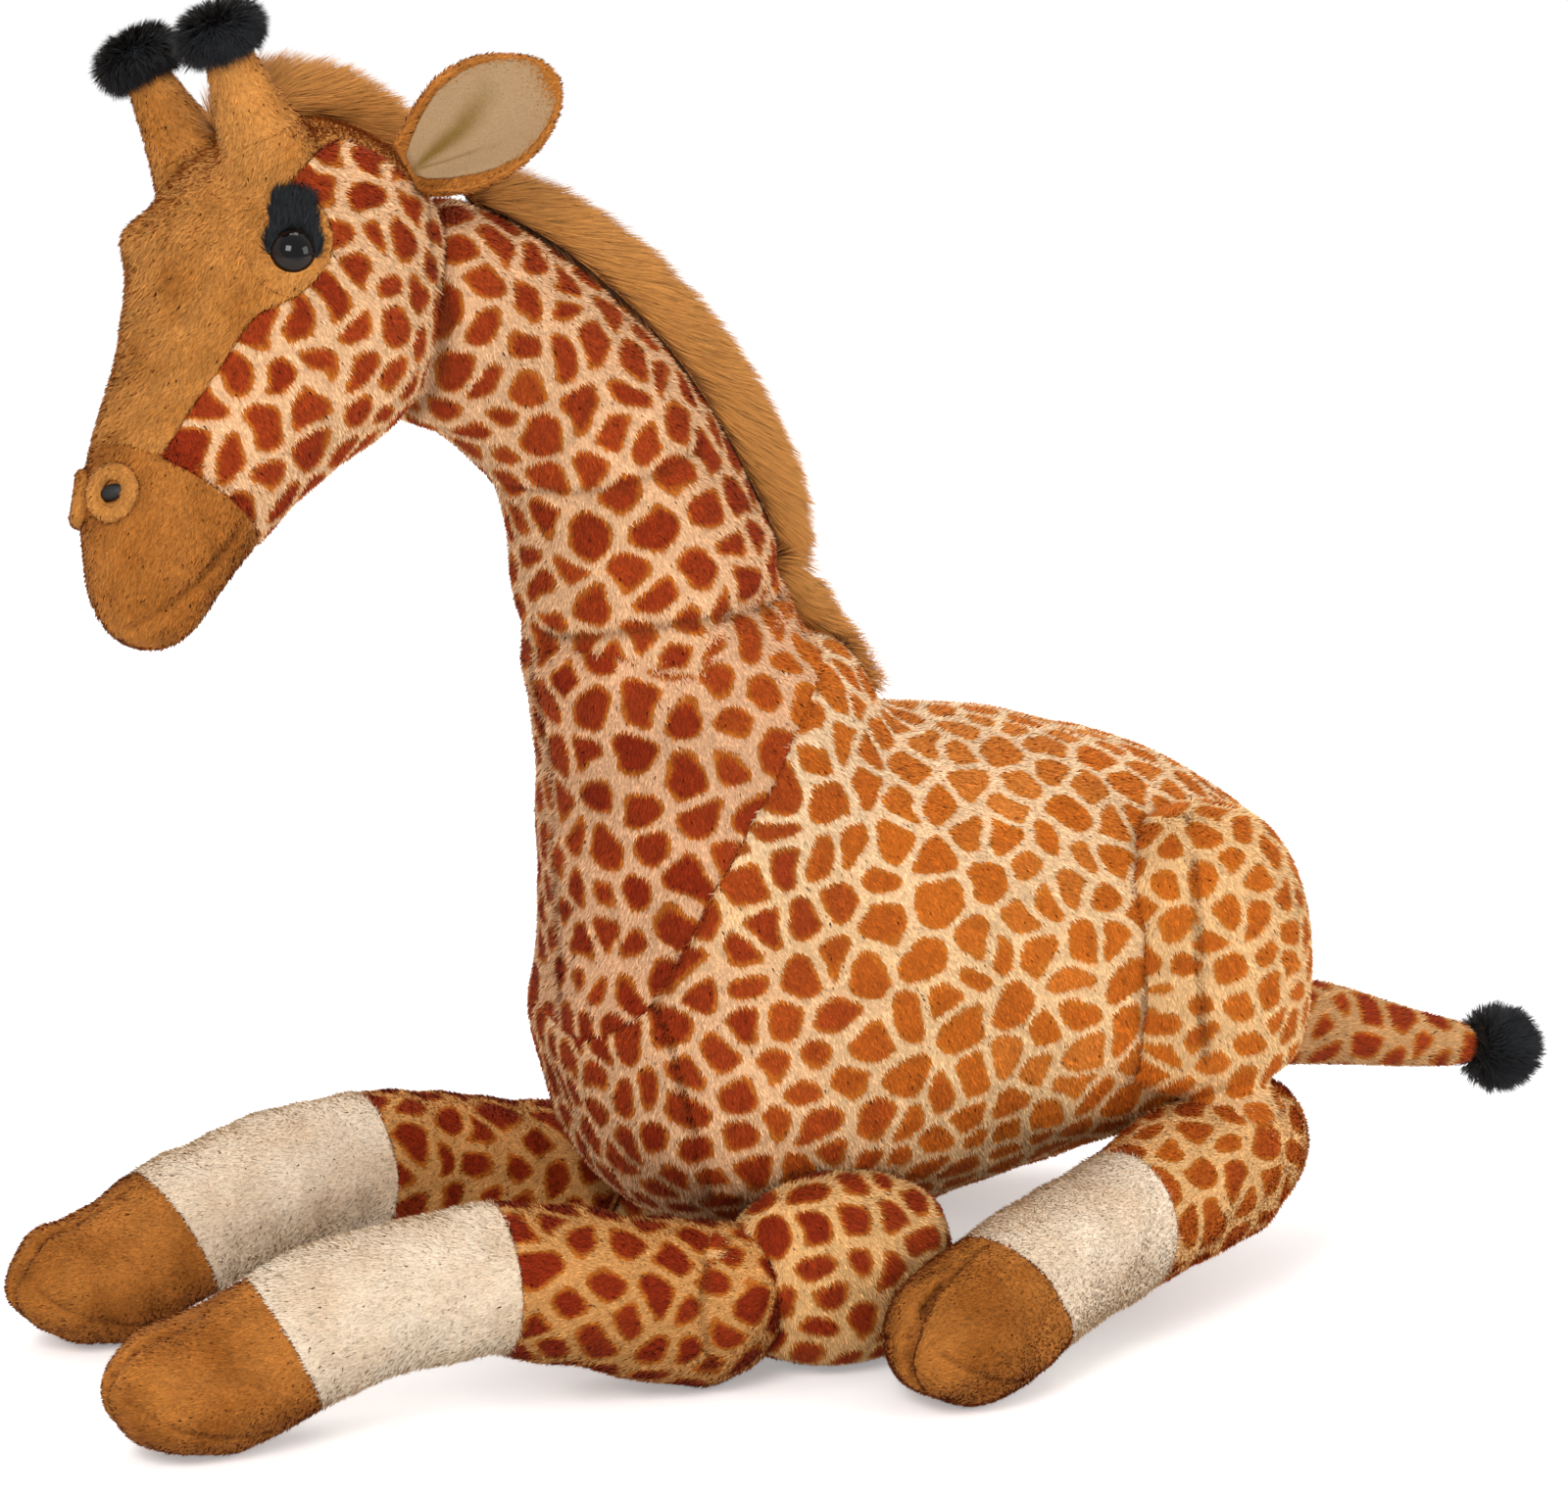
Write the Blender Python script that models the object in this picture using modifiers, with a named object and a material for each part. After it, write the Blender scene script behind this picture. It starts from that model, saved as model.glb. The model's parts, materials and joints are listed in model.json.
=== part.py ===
"""Stuffed giraffe that lies with its forelegs stretched out and its hind legs folded forward.

Metres, +Z up. The giraffe faces -X and its left side is -Y. It lies on the plane z = 0.
Each stuffed part is one solid, which stands for its plush cover and the fibre filling inside it.
Sewn folds that let a part swing are balls in sockets, and the other seams are close cuts.
"""
import math

import bmesh
import bpy
from mathutils import Matrix, Vector
from mathutils.bvhtree import BVHTree

# Clearances and cuts
CLEARANCE = 0.0003
SOCKET_GAP = 0.0009
FLAT_DEPTH = 0.0005
CUTTER_REACH = 0.400
GROUND_REACH = 1.000

# Torso, a barrel lofted from the breast to the rump
BODY_LENGTH = 0.369
BODY_HEIGHT = 0.240
BODY_WIDTH = 0.220
BREAST_X = -0.147
BODY_STATION_SHARES = (
    # along, centre height, height, width
    (0.014, 0.508, 0.330, 0.400),
    (0.065, 0.517, 0.640, 0.720),
    (0.170, 0.550, 0.860, 0.930),
    (0.310, 0.620, 1.000, 0.990),
    (0.420, 0.668, 1.030, 1.000),
    (0.578, 0.662, 0.925, 1.000),
    (0.715, 0.637, 0.825, 0.950),
    (0.814, 0.610, 0.730, 0.870),
    (0.900, 0.567, 0.605, 0.710),
    (0.965, 0.530, 0.430, 0.480),
    (0.995, 0.520, 0.200, 0.220),
)
SHOULDER_SEAM_SHARES = (0.1545, 0.950)
SHOULDER_SEAM_SLOPE = math.radians(48.0)

# Neck, in two stuffed lengths that meet in a deep fold
NECK_BASE_SHARES = (0.2493, 0.6667)
NECK_LOWER_RISE = 0.153
NECK_LOWER_LEAN = 0.036
NECK_BASE_RADIUS = 0.093
NECK_FOLD_RADIUS = 0.062
NECK_LOWER_SHARES = (
    # rise, lean, radius
    (0.000, 0.000, 1.000),
    (0.295, 0.000, 0.975),
    (0.555, 0.240, 0.930),
    (0.750, 0.550, 0.835),
    (0.895, 0.810, 0.745),
    (1.000, 1.000, 0.678),
    (1.150, 1.300, 0.680),
    (1.450, 1.700, 0.690),
)
NECK_FOLD_LIFT = 0.018
NECK_FOLD_STEP = 0.004
NECK_UPPER_RISE = 0.141
NECK_UPPER_REACH = 0.101
NECK_UPPER_RADIUS = 0.0625
NECK_TOP_RADIUS = 0.0500
NECK_UPPER_SHARES = (
    # rise, reach, radius, from the fold to the head
    (0.000, 0.000, 0.880),
    (0.050, 0.020, 1.000),
    (0.205, 0.080, 0.930),
    (0.370, 0.150, 0.855),
    (0.525, 0.240, 0.790),
    (0.660, 0.355, 0.760),
    (0.800, 0.545, 0.755),
    (0.935, 0.765, 0.755),
    (1.000, 0.950, 0.785),
    (1.040, 1.160, 0.820),
    (1.110, 1.530, 0.840),
)

# Head, lofted along the nose in its own frame: nose, left side, brow
HEAD_LENGTH = 0.248
HEAD_DEPTH = 0.140
HEAD_WIDTH = 0.128
HEAD_PITCH = math.radians(53.0)
HEAD_TURN = math.radians(20.0)
HEAD_BACK = 0.074
HEAD_FROM_NECK = (-0.081, -0.012, 0.022)
HEAD_STATION_SHARES = (
    # along, offset to the brow, depth, width
    (0.004, -0.040, 0.330, 0.380),
    (0.060, -0.040, 0.680, 0.700),
    (0.175, -0.040, 0.920, 0.900),
    (0.300, -0.035, 1.030, 1.000),
    (0.400, -0.035, 1.000, 0.985),
    (0.500, -0.020, 0.800, 0.820),
    (0.590, -0.005, 0.690, 0.700),
    (0.695, 0.007, 0.620, 0.610),
    (0.800, 0.002, 0.530, 0.560),
    (0.890, -0.042, 0.385, 0.450),
    (0.960, -0.085, 0.265, 0.320),
    (0.996, -0.095, 0.140, 0.170),
)
FACE_EDGE_SHARES = (
    # the side seam of the face panel: along the head, then up to the brow
    (-0.300, -0.350),
    (0.060, -0.200),
    (0.100, 0.000),
    (0.125, 0.200),
    (0.230, 0.175),
    (0.285, 0.115),
    (0.395, 0.105),
    (0.470, 0.185),
    (0.720, 0.205),
    (1.300, 0.180),
)
MUZZLE_SEAM_SHARES = ((0.685, 1.000), (0.775, -1.000))

# Horns with their black tips
HORN_LENGTH = 0.050
HORN_RADIUS = 0.0095
HORN_SINK = 0.012
HORN_AIM = (-0.32, 0.52, 0.80)
HORN_LEAN = (-0.55, 0.12, 0.83)
HORN_ALONG_SHARE = 0.234
HORN_PROFILE_SHARES = (
    # radius of the stem, height
    (0.80, 1.00),
    (1.00, 0.94),
    (1.15, 0.78),
    (1.38, 0.58),
    (1.70, 0.40),
    (2.15, 0.22),
    (2.35, 0.08),
    (2.35, 0.00),
)
HORN_TIP_RADIUS = 0.0175
HORN_TIP_HEIGHT = 0.030

# Ears: a plush leaf outside and a smooth lining inside
EAR_LENGTH = 0.074
EAR_WIDTH = 0.057
EAR_THICKNESS = 0.0055
EAR_LINING_THICKNESS = 0.0022
EAR_LINING_GAP = 0.0009
EAR_CUP = 0.010
EAR_SETBACK = 0.0018
EAR_ALONG_SHARE = 0.052
EAR_AIM = (0.0, 0.95, -0.26)
EAR_WAY = (-0.74, 0.53, -0.41)
EAR_FACE = (0.34, 0.82, 0.47)
EAR_ROWS = 5
EAR_COLUMNS = 3
EAR_ROOT_WIDTH_SHARE = 0.42
EAR_TIP_ROUND_SHARE = 0.42
EAR_HOLLOW_SHARE = 0.35
EAR_BELLY_POWER = 1.40
EAR_LINING_START_SHARE = 0.14
EAR_LINING_WIDTH_SHARE = 0.83

# Eyes on their shanks, with the washers that lock them inside the head
EYE_RADIUS = 0.0102
EYE_SINK = 0.0030
EYE_SHANK_RADIUS = 0.0022
EYE_SHANK_LENGTH = 0.018
EYE_ALONG_SHARE = 0.330
EYE_AIM = (0.0, 0.91, 0.41)
EYE_DOME_TURN = math.radians(112.0)
EYE_DOME_STEPS = 8
WASHER_RADIUS = 0.0080
WASHER_THICKNESS = 0.0018
WASHER_DEPTH = 0.0105
LID_AIM = (0.34, -0.94)
LID_RADIUS = 0.0142
LID_THICKNESS = 0.0056
LID_SWEEP = math.radians(185.0)
LASH_AIM = (-0.91, 0.41)
LASH_RADIUS = 0.0182
LASH_DEPTH = 0.0130
LASH_LIFT = 0.0035
LASH_THICKNESS = 0.0130
LASH_SWEEP = math.radians(66.0)
ARC_END_SHARE = 0.45

# Nostrils
NOSTRIL_ALONG_SHARE = 0.805
NOSTRIL_AIM = (0.0, 0.38, 0.92)
NOSTRIL_RIM_RADIUS = 0.0090
NOSTRIL_RIM_THICKNESS = 0.0066
NOSTRIL_RIM_STEPS = 10
NOSTRIL_SLANT = (-0.86, 0.51)
NOSTRIL_LENGTH = 0.0126
NOSTRIL_WIDTH = 0.0078
NOSTRIL_HEIGHT = 0.0060

# Mane, a sewn strip of long pile
MANE_WIDTH = 0.026
MANE_HEIGHT = 0.027
MANE_SINK = 0.010
MANE_CROWN_START = math.radians(122.0)
MANE_CROWN_END = math.radians(212.0)
MANE_CROWN_SHARES = (0.45, 0.85, 1.00, 1.00, 1.00, 0.85, 0.45)
MANE_UPPER_SHARES = (0.60, 0.90, 1.00, 1.00, 1.00, 0.90, 0.60)
MANE_LOWER_SHARES = (0.04, 0.12, 0.20, 0.28, 0.38, 0.46, 0.40)
MANE_UPPER_SPAN_SHARES = (0.03, 0.86)
MANE_LOWER_SPAN_SHARES = (0.33, 0.71)
MANE_ROOT_WIDTH_SHARE = 0.5

# Forelegs
FORELEG_LENGTH = 0.270
FORELEG_RADIUS = 0.0365
FORELEG_HEIGHT = 0.0600
FORELEG_HINGE_SHARE = 0.0949
FORELEG_SPACING = 0.094
FORELEG_TURNS = {"left": math.radians(-3.0), "right": math.radians(7.0)}
FORELEG_SHARES = (
    # along, height, radius
    (-0.165, 0.66, 1.02),
    (0.000, 0.66, 1.02),
    (0.140, 0.84, 1.00),
    (0.315, 1.11, 0.93),
    (0.490, 1.13, 0.90),
    (0.690, 0.93, 0.92),
    (0.850, 0.51, 0.97),
    (0.950, 0.65, 0.80),
    (0.995, 0.88, 0.45),
)
FORELEG_SEAM_SHARES = (0.355, 0.695)
UPPER_ARM_LENGTH = 0.110
UPPER_ARM_WIDTH = 0.074
UPPER_ARM_HEIGHT = 0.092
UPPER_ARM_BEHIND_HINGE = 0.064
UPPER_ARM_OUTWARD = 0.001

# Hind legs
HINDLEG_LENGTH = 0.214
HINDLEG_RADIUS = 0.036
HINDLEG_HEIGHT = 0.075
HINDLEG_HINGE_SHARE = 0.8049
HINDLEG_SPACING = 0.094
HINDLEG_TURN = math.radians(22.0)
HINDLEG_SHARES = (
    # along, height, radius
    (-0.210, 1.03, 1.02),
    (0.000, 1.03, 1.02),
    (0.140, 0.97, 1.00),
    (0.320, 0.86, 0.90),
    (0.490, 0.79, 0.87),
    (0.655, 0.69, 0.93),
    (0.830, 0.51, 1.04),
    (0.940, 0.58, 0.84),
    (0.996, 0.70, 0.48),
)
HINDLEG_SEAM_SHARES = (0.337, 0.665)
THIGH_LENGTH = 0.112
THIGH_WIDTH = 0.088
THIGH_HEIGHT = 0.136
THIGH_BOTTOM_Z = 0.100
THIGH_FORWARD = 0.010
THIGH_INWARD = 0.018
THIGH_SHARES = (
    # height, length, width
    (0.000, 0.820, 0.760),
    (0.160, 1.020, 0.960),
    (0.480, 1.060, 1.040),
    (0.800, 0.900, 0.880),
    (1.000, 0.380, 0.380),
)
OVAL_SHARES = (
    # along, thickness
    (0.000, 0.380),
    (0.150, 0.840),
    (0.500, 1.080),
    (0.850, 0.840),
    (1.000, 0.380),
)
OVAL_MIDDLE_SHARE = 0.500

# Hooves: the slant of the seam above them, and the cleft between the toes
HOOF_SEAM_LEAN = math.radians(25.0)
CLEFT_WIDTH = 0.0045
CLEFT_DEPTH = 0.012

# Tail
TAIL_HINGE_SHARES = (1.0136, 0.4083)
TAIL_LENGTH = 0.112
TAIL_DROP = 0.027
TAIL_RADIUS = 0.0215
TAIL_SHARES = (
    # along, drop, radius
    (-0.240, 0.00, 1.02),
    (0.000, 0.00, 1.02),
    (0.200, 0.16, 0.95),
    (0.420, 0.42, 0.80),
    (0.560, 0.60, 0.70),
    (0.800, 0.86, 0.56),
    (0.985, 1.00, 0.44),
)
TUFT_LENGTH = 0.043
TUFT_RADIUS = 0.0195
TUFT_OVERLAP = 0.010
TUFT_DROP = 0.003

# How finely the forms are drawn
BODY_SIDES = 10
LIMB_SIDES = 8
SMALL_SIDES = 6
TURNED_STEPS = 16
NECK_BALL_SEGMENTS = 28
LIMB_BALL_SEGMENTS = 22

SIDES = {"left": -1.0, "right": 1.0}
ACROSS = Vector((0.0, 1.0, 0.0))
UPWARD = Vector((0.0, 0.0, 1.0))

PLUSH_PRINT = ((0.72, 0.46, 0.27, 1.0), 0.85)
PLUSH_TAN = ((0.45, 0.24, 0.08, 1.0), 0.85)
PLUSH_CREAM = ((0.80, 0.68, 0.55, 1.0), 0.85)
LINING_PEACH = ((0.70, 0.48, 0.31, 1.0), 0.75)
PILE_GINGER = ((0.42, 0.18, 0.05, 1.0), 0.80)
FUR_BLACK = ((0.01, 0.01, 0.012, 1.0), 0.70)
EYE_GLOSS = ((0.008, 0.007, 0.006, 1.0), 0.08)
WASHER_WHITE = ((0.75, 0.75, 0.72, 1.0), 0.45)


def new_collection(name):
    """Adds a collection to the scene."""
    group = bpy.data.collections.new(name)
    bpy.context.scene.collection.children.link(group)
    return group


def clear_scene():
    """Removes every object that the file opened with."""
    for leftover in list(bpy.data.objects):
        bpy.data.objects.remove(leftover, do_unlink=True)


clear_scene()
PARTS = new_collection("plush_giraffe")
CUTTERS = new_collection("cutters")
ROOT = bpy.data.objects.new("giraffe_middle", None)
PARTS.objects.link(ROOT)


def as_cutter(piece):
    """Keeps an object for cutting only, out of the finished toy."""
    piece.hide_render = True
    piece.display_type = "WIRE"
    return piece


def place(name, mesh, group, finish=None):
    """Makes an object of a mesh, in a collection, with its own material where it has a finish."""
    piece = bpy.data.objects.new(name, mesh)
    group.objects.link(piece)
    piece.parent = ROOT
    if finish:
        colour, roughness = finish
        cloth = bpy.data.materials.new(name + "_finish")
        cloth.use_nodes = True
        shader = cloth.node_tree.nodes["Principled BSDF"]
        shader.inputs["Base Color"].default_value = colour
        shader.inputs["Roughness"].default_value = roughness
        mesh.materials.append(cloth)
        mesh.shade_smooth()
    else:
        as_cutter(piece)
    return piece


def evaluated_mesh(piece):
    """The mesh of an object with its modifiers applied, in the space of its parent."""
    bpy.context.view_layer.update()
    graph = bpy.context.evaluated_depsgraph_get()
    mesh = bpy.data.meshes.new_from_object(piece.evaluated_get(graph))
    mesh.transform(piece.matrix_basis)
    return mesh


def copied(form, name, finish):
    """A finished part that starts as the whole of a form."""
    return place(name, evaluated_mesh(form), PARTS, finish)


def boolean(piece, cutter, operation="DIFFERENCE"):
    """Cuts or joins one object with another."""
    step = piece.modifiers.new(operation.lower() + "_" + cutter.name, "BOOLEAN")
    step.operation = operation
    step.object = cutter
    step.solver = "EXACT"


def grown(form, gap=CLEARANCE):
    """A copy of a form, larger all round by a gap, to cut its neighbours with."""
    cutter = place(form.name + "_grown", evaluated_mesh(form), CUTTERS)
    swell = cutter.modifiers.new("gap", "DISPLACE")
    swell.direction = "NORMAL"
    swell.mid_level = 0.0
    swell.strength = gap
    return cutter


def seat_on(piece, *forms):
    """Cuts a piece where it lies against the forms that carry it, with the clearance between."""
    for form in forms:
        boolean(piece, grown(form))


def ring_swell(sides):
    """How far a cage's ring stands outside the round that one subdivision makes of it."""
    return 1.0 / (0.75 + 0.25 * math.cos(math.tau / sides))


def loft(name, rows, sides, across=ACROSS, finish=None):
    """A stuffed form: a coarse cage of rings along a spine, smoothed by subdivision.

    A row holds the ring's centre, its half width along the side axis, and its half depth.
    """
    cage = bmesh.new()
    swell = ring_swell(sides)
    rings = []
    for index, (centre, half_width, half_depth) in enumerate(rows):
        before = rows[max(index - 1, 0)][0]
        after = rows[min(index + 1, len(rows) - 1)][0]
        along = (after - before).normalized()
        side = (across - along * across.dot(along)).normalized()
        up = along.cross(side)
        ring = []
        for step in range(sides):
            turn = math.tau * (step + 0.5) / sides
            offset = side * (half_width * math.cos(turn)) + up * (half_depth * math.sin(turn))
            ring.append(cage.verts.new(centre + offset * swell))
        rings.append(ring)
    for ring, following in zip(rings, rings[1:]):
        for step in range(sides):
            beside = (step + 1) % sides
            cage.faces.new((ring[step], ring[beside], following[beside], following[step]))
    cage.faces.new(list(reversed(rings[0])))
    cage.faces.new(rings[-1])
    bmesh.ops.recalc_face_normals(cage, faces=cage.faces[:])
    mesh = bpy.data.meshes.new(name)
    cage.to_mesh(mesh)
    cage.free()
    form = place(name, mesh, PARTS if finish else CUTTERS, finish)
    smooth = form.modifiers.new("stuffing", "SUBSURF")
    smooth.levels = 1
    smooth.render_levels = 1
    return form


def turned(name, profile, base, axis, finish=None, steps=TURNED_STEPS):
    """A turned piece: a profile of radius and height, spun about its axis by a Screw modifier."""
    mesh = bpy.data.meshes.new(name)
    outline = [(radius, 0.0, height) for radius, height in profile]
    mesh.from_pydata(outline, [(row, row + 1) for row in range(len(outline) - 1)], [])
    piece = place(name, mesh, PARTS if finish else CUTTERS, finish)
    spin = piece.modifiers.new("turning", "SCREW")
    spin.steps = steps
    spin.render_steps = steps
    spin.use_merge_vertices = True
    spin.merge_threshold = 0.00001
    piece.matrix_basis = Matrix.Translation(base) @ axis.to_track_quat("Z", "Y").to_matrix().to_4x4()
    return piece


def ball(name, centre, radius, segments):
    """A ball, used to cut a socket or to trim the end of a limb round."""
    shape = bmesh.new()
    bmesh.ops.create_uvsphere(shape, u_segments=segments, v_segments=segments // 2, radius=radius)
    mesh = bpy.data.meshes.new(name)
    shape.to_mesh(mesh)
    shape.free()
    piece = place(name, mesh, CUTTERS)
    piece.location = centre
    return piece


def block(name, size, centre, turn=None):
    """A box cutter, turned about its centre."""
    shape = bmesh.new()
    bmesh.ops.create_cube(shape, size=1.0)
    bmesh.ops.scale(shape, vec=size, verts=shape.verts)
    mesh = bpy.data.meshes.new(name)
    shape.to_mesh(mesh)
    shape.free()
    piece = place(name, mesh, CUTTERS)
    basis = turn.to_matrix().to_4x4() if turn else Matrix.Identity(4)
    piece.matrix_basis = Matrix.Translation(centre) @ basis
    return piece


def half_space(name, point, way, reach=CUTTER_REACH):
    """A large box whose face passes through a point, filling the side that way points to."""
    turn = way.to_track_quat("Z", "Y")
    centre = point + way.normalized() * (reach / 2.0)
    return block(name, (reach, reach, reach), centre, turn)


def round_end(form, centre, radius, way, segments=LIMB_BALL_SEGMENTS):
    """Trims the end of a form that points one way to a ball, so that it turns in its socket."""
    waste = half_space(form.name + "_waste", centre + way.normalized() * CLEARANCE, way)
    boolean(waste, ball(form.name + "_ball", centre, radius, segments))
    boolean(form, waste)


def socket(form, centre, radius, segments=LIMB_BALL_SEGMENTS):
    """Cuts the hollow that a ball end turns in."""
    boolean(form, ball(form.name + "_socket", centre, radius + SOCKET_GAP, segments))


def settle(form):
    """Lowers or lifts a form so that its cut on the ground is as deep as named."""
    mesh = evaluated_mesh(form)
    lowest = min(corner.co.z for corner in mesh.vertices)
    form.location.z -= lowest + FLAT_DEPTH
    boolean(form, GROUND)


def sheet_prism(name, outline, frame, origin):
    """A cutter with a flat outline in a frame's first and third axes, as thick as it reaches."""
    shape = bmesh.new()
    corners = []
    for along, up in outline:
        corners.append(shape.verts.new((along, -CUTTER_REACH / 2.0, up)))
    face = shape.faces.new(corners)
    swept = bmesh.ops.extrude_face_region(shape, geom=[face])
    raised = [item for item in swept["geom"] if isinstance(item, bmesh.types.BMVert)]
    bmesh.ops.translate(shape, vec=(0.0, CUTTER_REACH, 0.0), verts=raised)
    bmesh.ops.recalc_face_normals(shape, faces=shape.faces[:])
    mesh = bpy.data.meshes.new(name)
    shape.to_mesh(mesh)
    shape.free()
    piece = place(name, mesh, CUTTERS)
    piece.matrix_basis = Matrix.Translation(origin) @ frame
    return piece


def surface_finder(*forms):
    """A function that finds where a ray from inside last leaves the forms, and the normal there."""
    trees = []
    for form in forms:
        shape = bmesh.new()
        shape.from_mesh(evaluated_mesh(form))
        trees.append(BVHTree.FromBMesh(shape))
        shape.free()

    def find(start, way):
        best = None
        for tree in trees:
            point, normal, _, distance = tree.ray_cast(start, way.normalized())
            if point is not None and (best is None or distance > best[2]):
                best = (point, normal, distance)
        return best[0], best[1]

    return find


def on_torso(along_share, up_share, side=0.0):
    """A point placed by its shares of the torso's length, from the breast, and of its height."""
    return Vector((BREAST_X + BODY_LENGTH * along_share, side, BODY_HEIGHT * up_share))


GROUND = half_space("ground", Vector((0.0, 0.0, 0.0)), -UPWARD, GROUND_REACH)
NECK_BASE = on_torso(*NECK_BASE_SHARES)


def body_form():
    """The torso's barrel."""
    rows = []
    for along, centre, height, width in BODY_STATION_SHARES:
        middle = Vector((BREAST_X + BODY_LENGTH * along, 0.0, BODY_HEIGHT * centre))
        rows.append((middle, BODY_WIDTH * width / 2.0, BODY_HEIGHT * height / 2.0))
    return loft("body_form", rows, BODY_SIDES)


def neck_lower_rows():
    """Rings of the lower neck, from inside the shoulders to past the fold."""
    rows = []
    for rise, lean, radius in NECK_LOWER_SHARES:
        middle = NECK_BASE + Vector((-NECK_LOWER_LEAN * lean, 0.0, NECK_LOWER_RISE * rise))
        rows.append((middle, NECK_BASE_RADIUS * radius, NECK_BASE_RADIUS * radius))
    return rows


NECK_FOLD = NECK_BASE + Vector((-NECK_LOWER_LEAN, 0.0, NECK_LOWER_RISE))


def neck_upper_rows():
    """Rings of the upper neck, which curves forward from the fold to the head."""
    rows = []
    for rise, reach, radius in NECK_UPPER_SHARES:
        middle = NECK_FOLD + Vector((
            -NECK_FOLD_STEP - NECK_UPPER_REACH * reach,
            0.0,
            NECK_FOLD_LIFT + NECK_UPPER_RISE * rise,
        ))
        rows.append((middle, NECK_UPPER_RADIUS * radius, NECK_UPPER_RADIUS * radius))
    return rows


NECK_TOP_ROW = -3
NECK_TOP = neck_upper_rows()[NECK_TOP_ROW][0]
NECK_TOP_WAY = (neck_upper_rows()[NECK_TOP_ROW + 1][0] - NECK_TOP).normalized()

NOSE_FORWARD = Vector((-math.cos(HEAD_PITCH), 0.0, -math.sin(HEAD_PITCH)))
BROW = Vector((-math.sin(HEAD_PITCH), 0.0, math.cos(HEAD_PITCH)))
NOSE = NOSE_FORWARD * math.cos(HEAD_TURN) - ACROSS * math.sin(HEAD_TURN)
CHEEK = -ACROSS * math.cos(HEAD_TURN) - NOSE_FORWARD * math.sin(HEAD_TURN)
HEAD_FRAME = Matrix((NOSE, CHEEK, BROW)).transposed()
HEAD_CENTRE = NECK_TOP + Vector(HEAD_FROM_NECK)


def head_way(local):
    """A direction given along the nose, to the left side and to the brow."""
    return HEAD_FRAME @ Vector(local)


def head_point(along_share, side=0.0, up=0.0):
    """A point of the head, placed by its share of the length from the crown to the nose."""
    return HEAD_CENTRE + head_way((HEAD_LENGTH * along_share - HEAD_BACK, side, up))


def head_form():
    """The whole stuffed head, before its panels are parted."""
    rows = []
    for along, offset, depth, width in HEAD_STATION_SHARES:
        middle = head_point(along, 0.0, HEAD_DEPTH * offset)
        rows.append((middle, HEAD_WIDTH * width / 2.0, HEAD_DEPTH * depth / 2.0))
    return loft("head_form", rows, BODY_SIDES, across=CHEEK)


def leg_frame(turn):
    """A leg's frame: along the leg, to its left, and up."""
    return Matrix.Rotation(turn, 4, "Z") @ Matrix.Rotation(math.pi, 4, "Z")


def leg_rows(shares, length, height, radius, frame, hinge):
    """Rings of a lower leg that runs level from its hinge to the toe."""
    rows = []
    for along, rise, girth in shares:
        middle = hinge + frame @ Vector((length * along, 0.0, 0.0))
        middle.z = height * rise
        rows.append((middle, radius * girth, radius * girth))
    return rows


def split_leg(form, names, finishes, frame, hinge, length, seam_shares, seam_height):
    """Parts a leg form at its two seams into the printed length, the pastern and the hoof."""
    way = frame @ Vector((1.0, 0.0, 0.0))
    way = Vector((way.x, way.y, 0.0))
    shift = way * (CLEARANCE / 2.0)
    seams = [hinge + way * (length * share) for share in seam_shares]
    slant = way * math.cos(HOOF_SEAM_LEAN) - UPWARD * math.sin(HOOF_SEAM_LEAN)
    seams[1].z = form.location.z + seam_height
    printed = copied(form, names[0], finishes[0])
    boolean(printed, half_space(names[0] + "_end", seams[0] - shift, way))
    pastern = copied(form, names[1], finishes[1])
    boolean(pastern, half_space(names[1] + "_top", seams[0] + shift, -way))
    boolean(pastern, half_space(names[1] + "_end", seams[1] - shift, slant))
    hoof = copied(form, names[2], finishes[2])
    boolean(hoof, half_space(names[2] + "_top", seams[1] + shift, -slant))
    toe = hinge + way * length
    toe.z = 0.0
    size = (CLEFT_DEPTH * 2.0, CLEFT_WIDTH, CUTTER_REACH)
    notch = block(names[2] + "_cleft", size, toe, way.to_track_quat("X", "Z"))
    boolean(hoof, notch)


def oval_rows(centre, length, width, height, way):
    """Rings of a plump oval pad."""
    rows = []
    for along, thickness in OVAL_SHARES:
        middle = centre + way * (length * (along - OVAL_MIDDLE_SHARE))
        rows.append((middle, width * thickness / 2.0, height * thickness / 2.0))
    return rows


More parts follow.
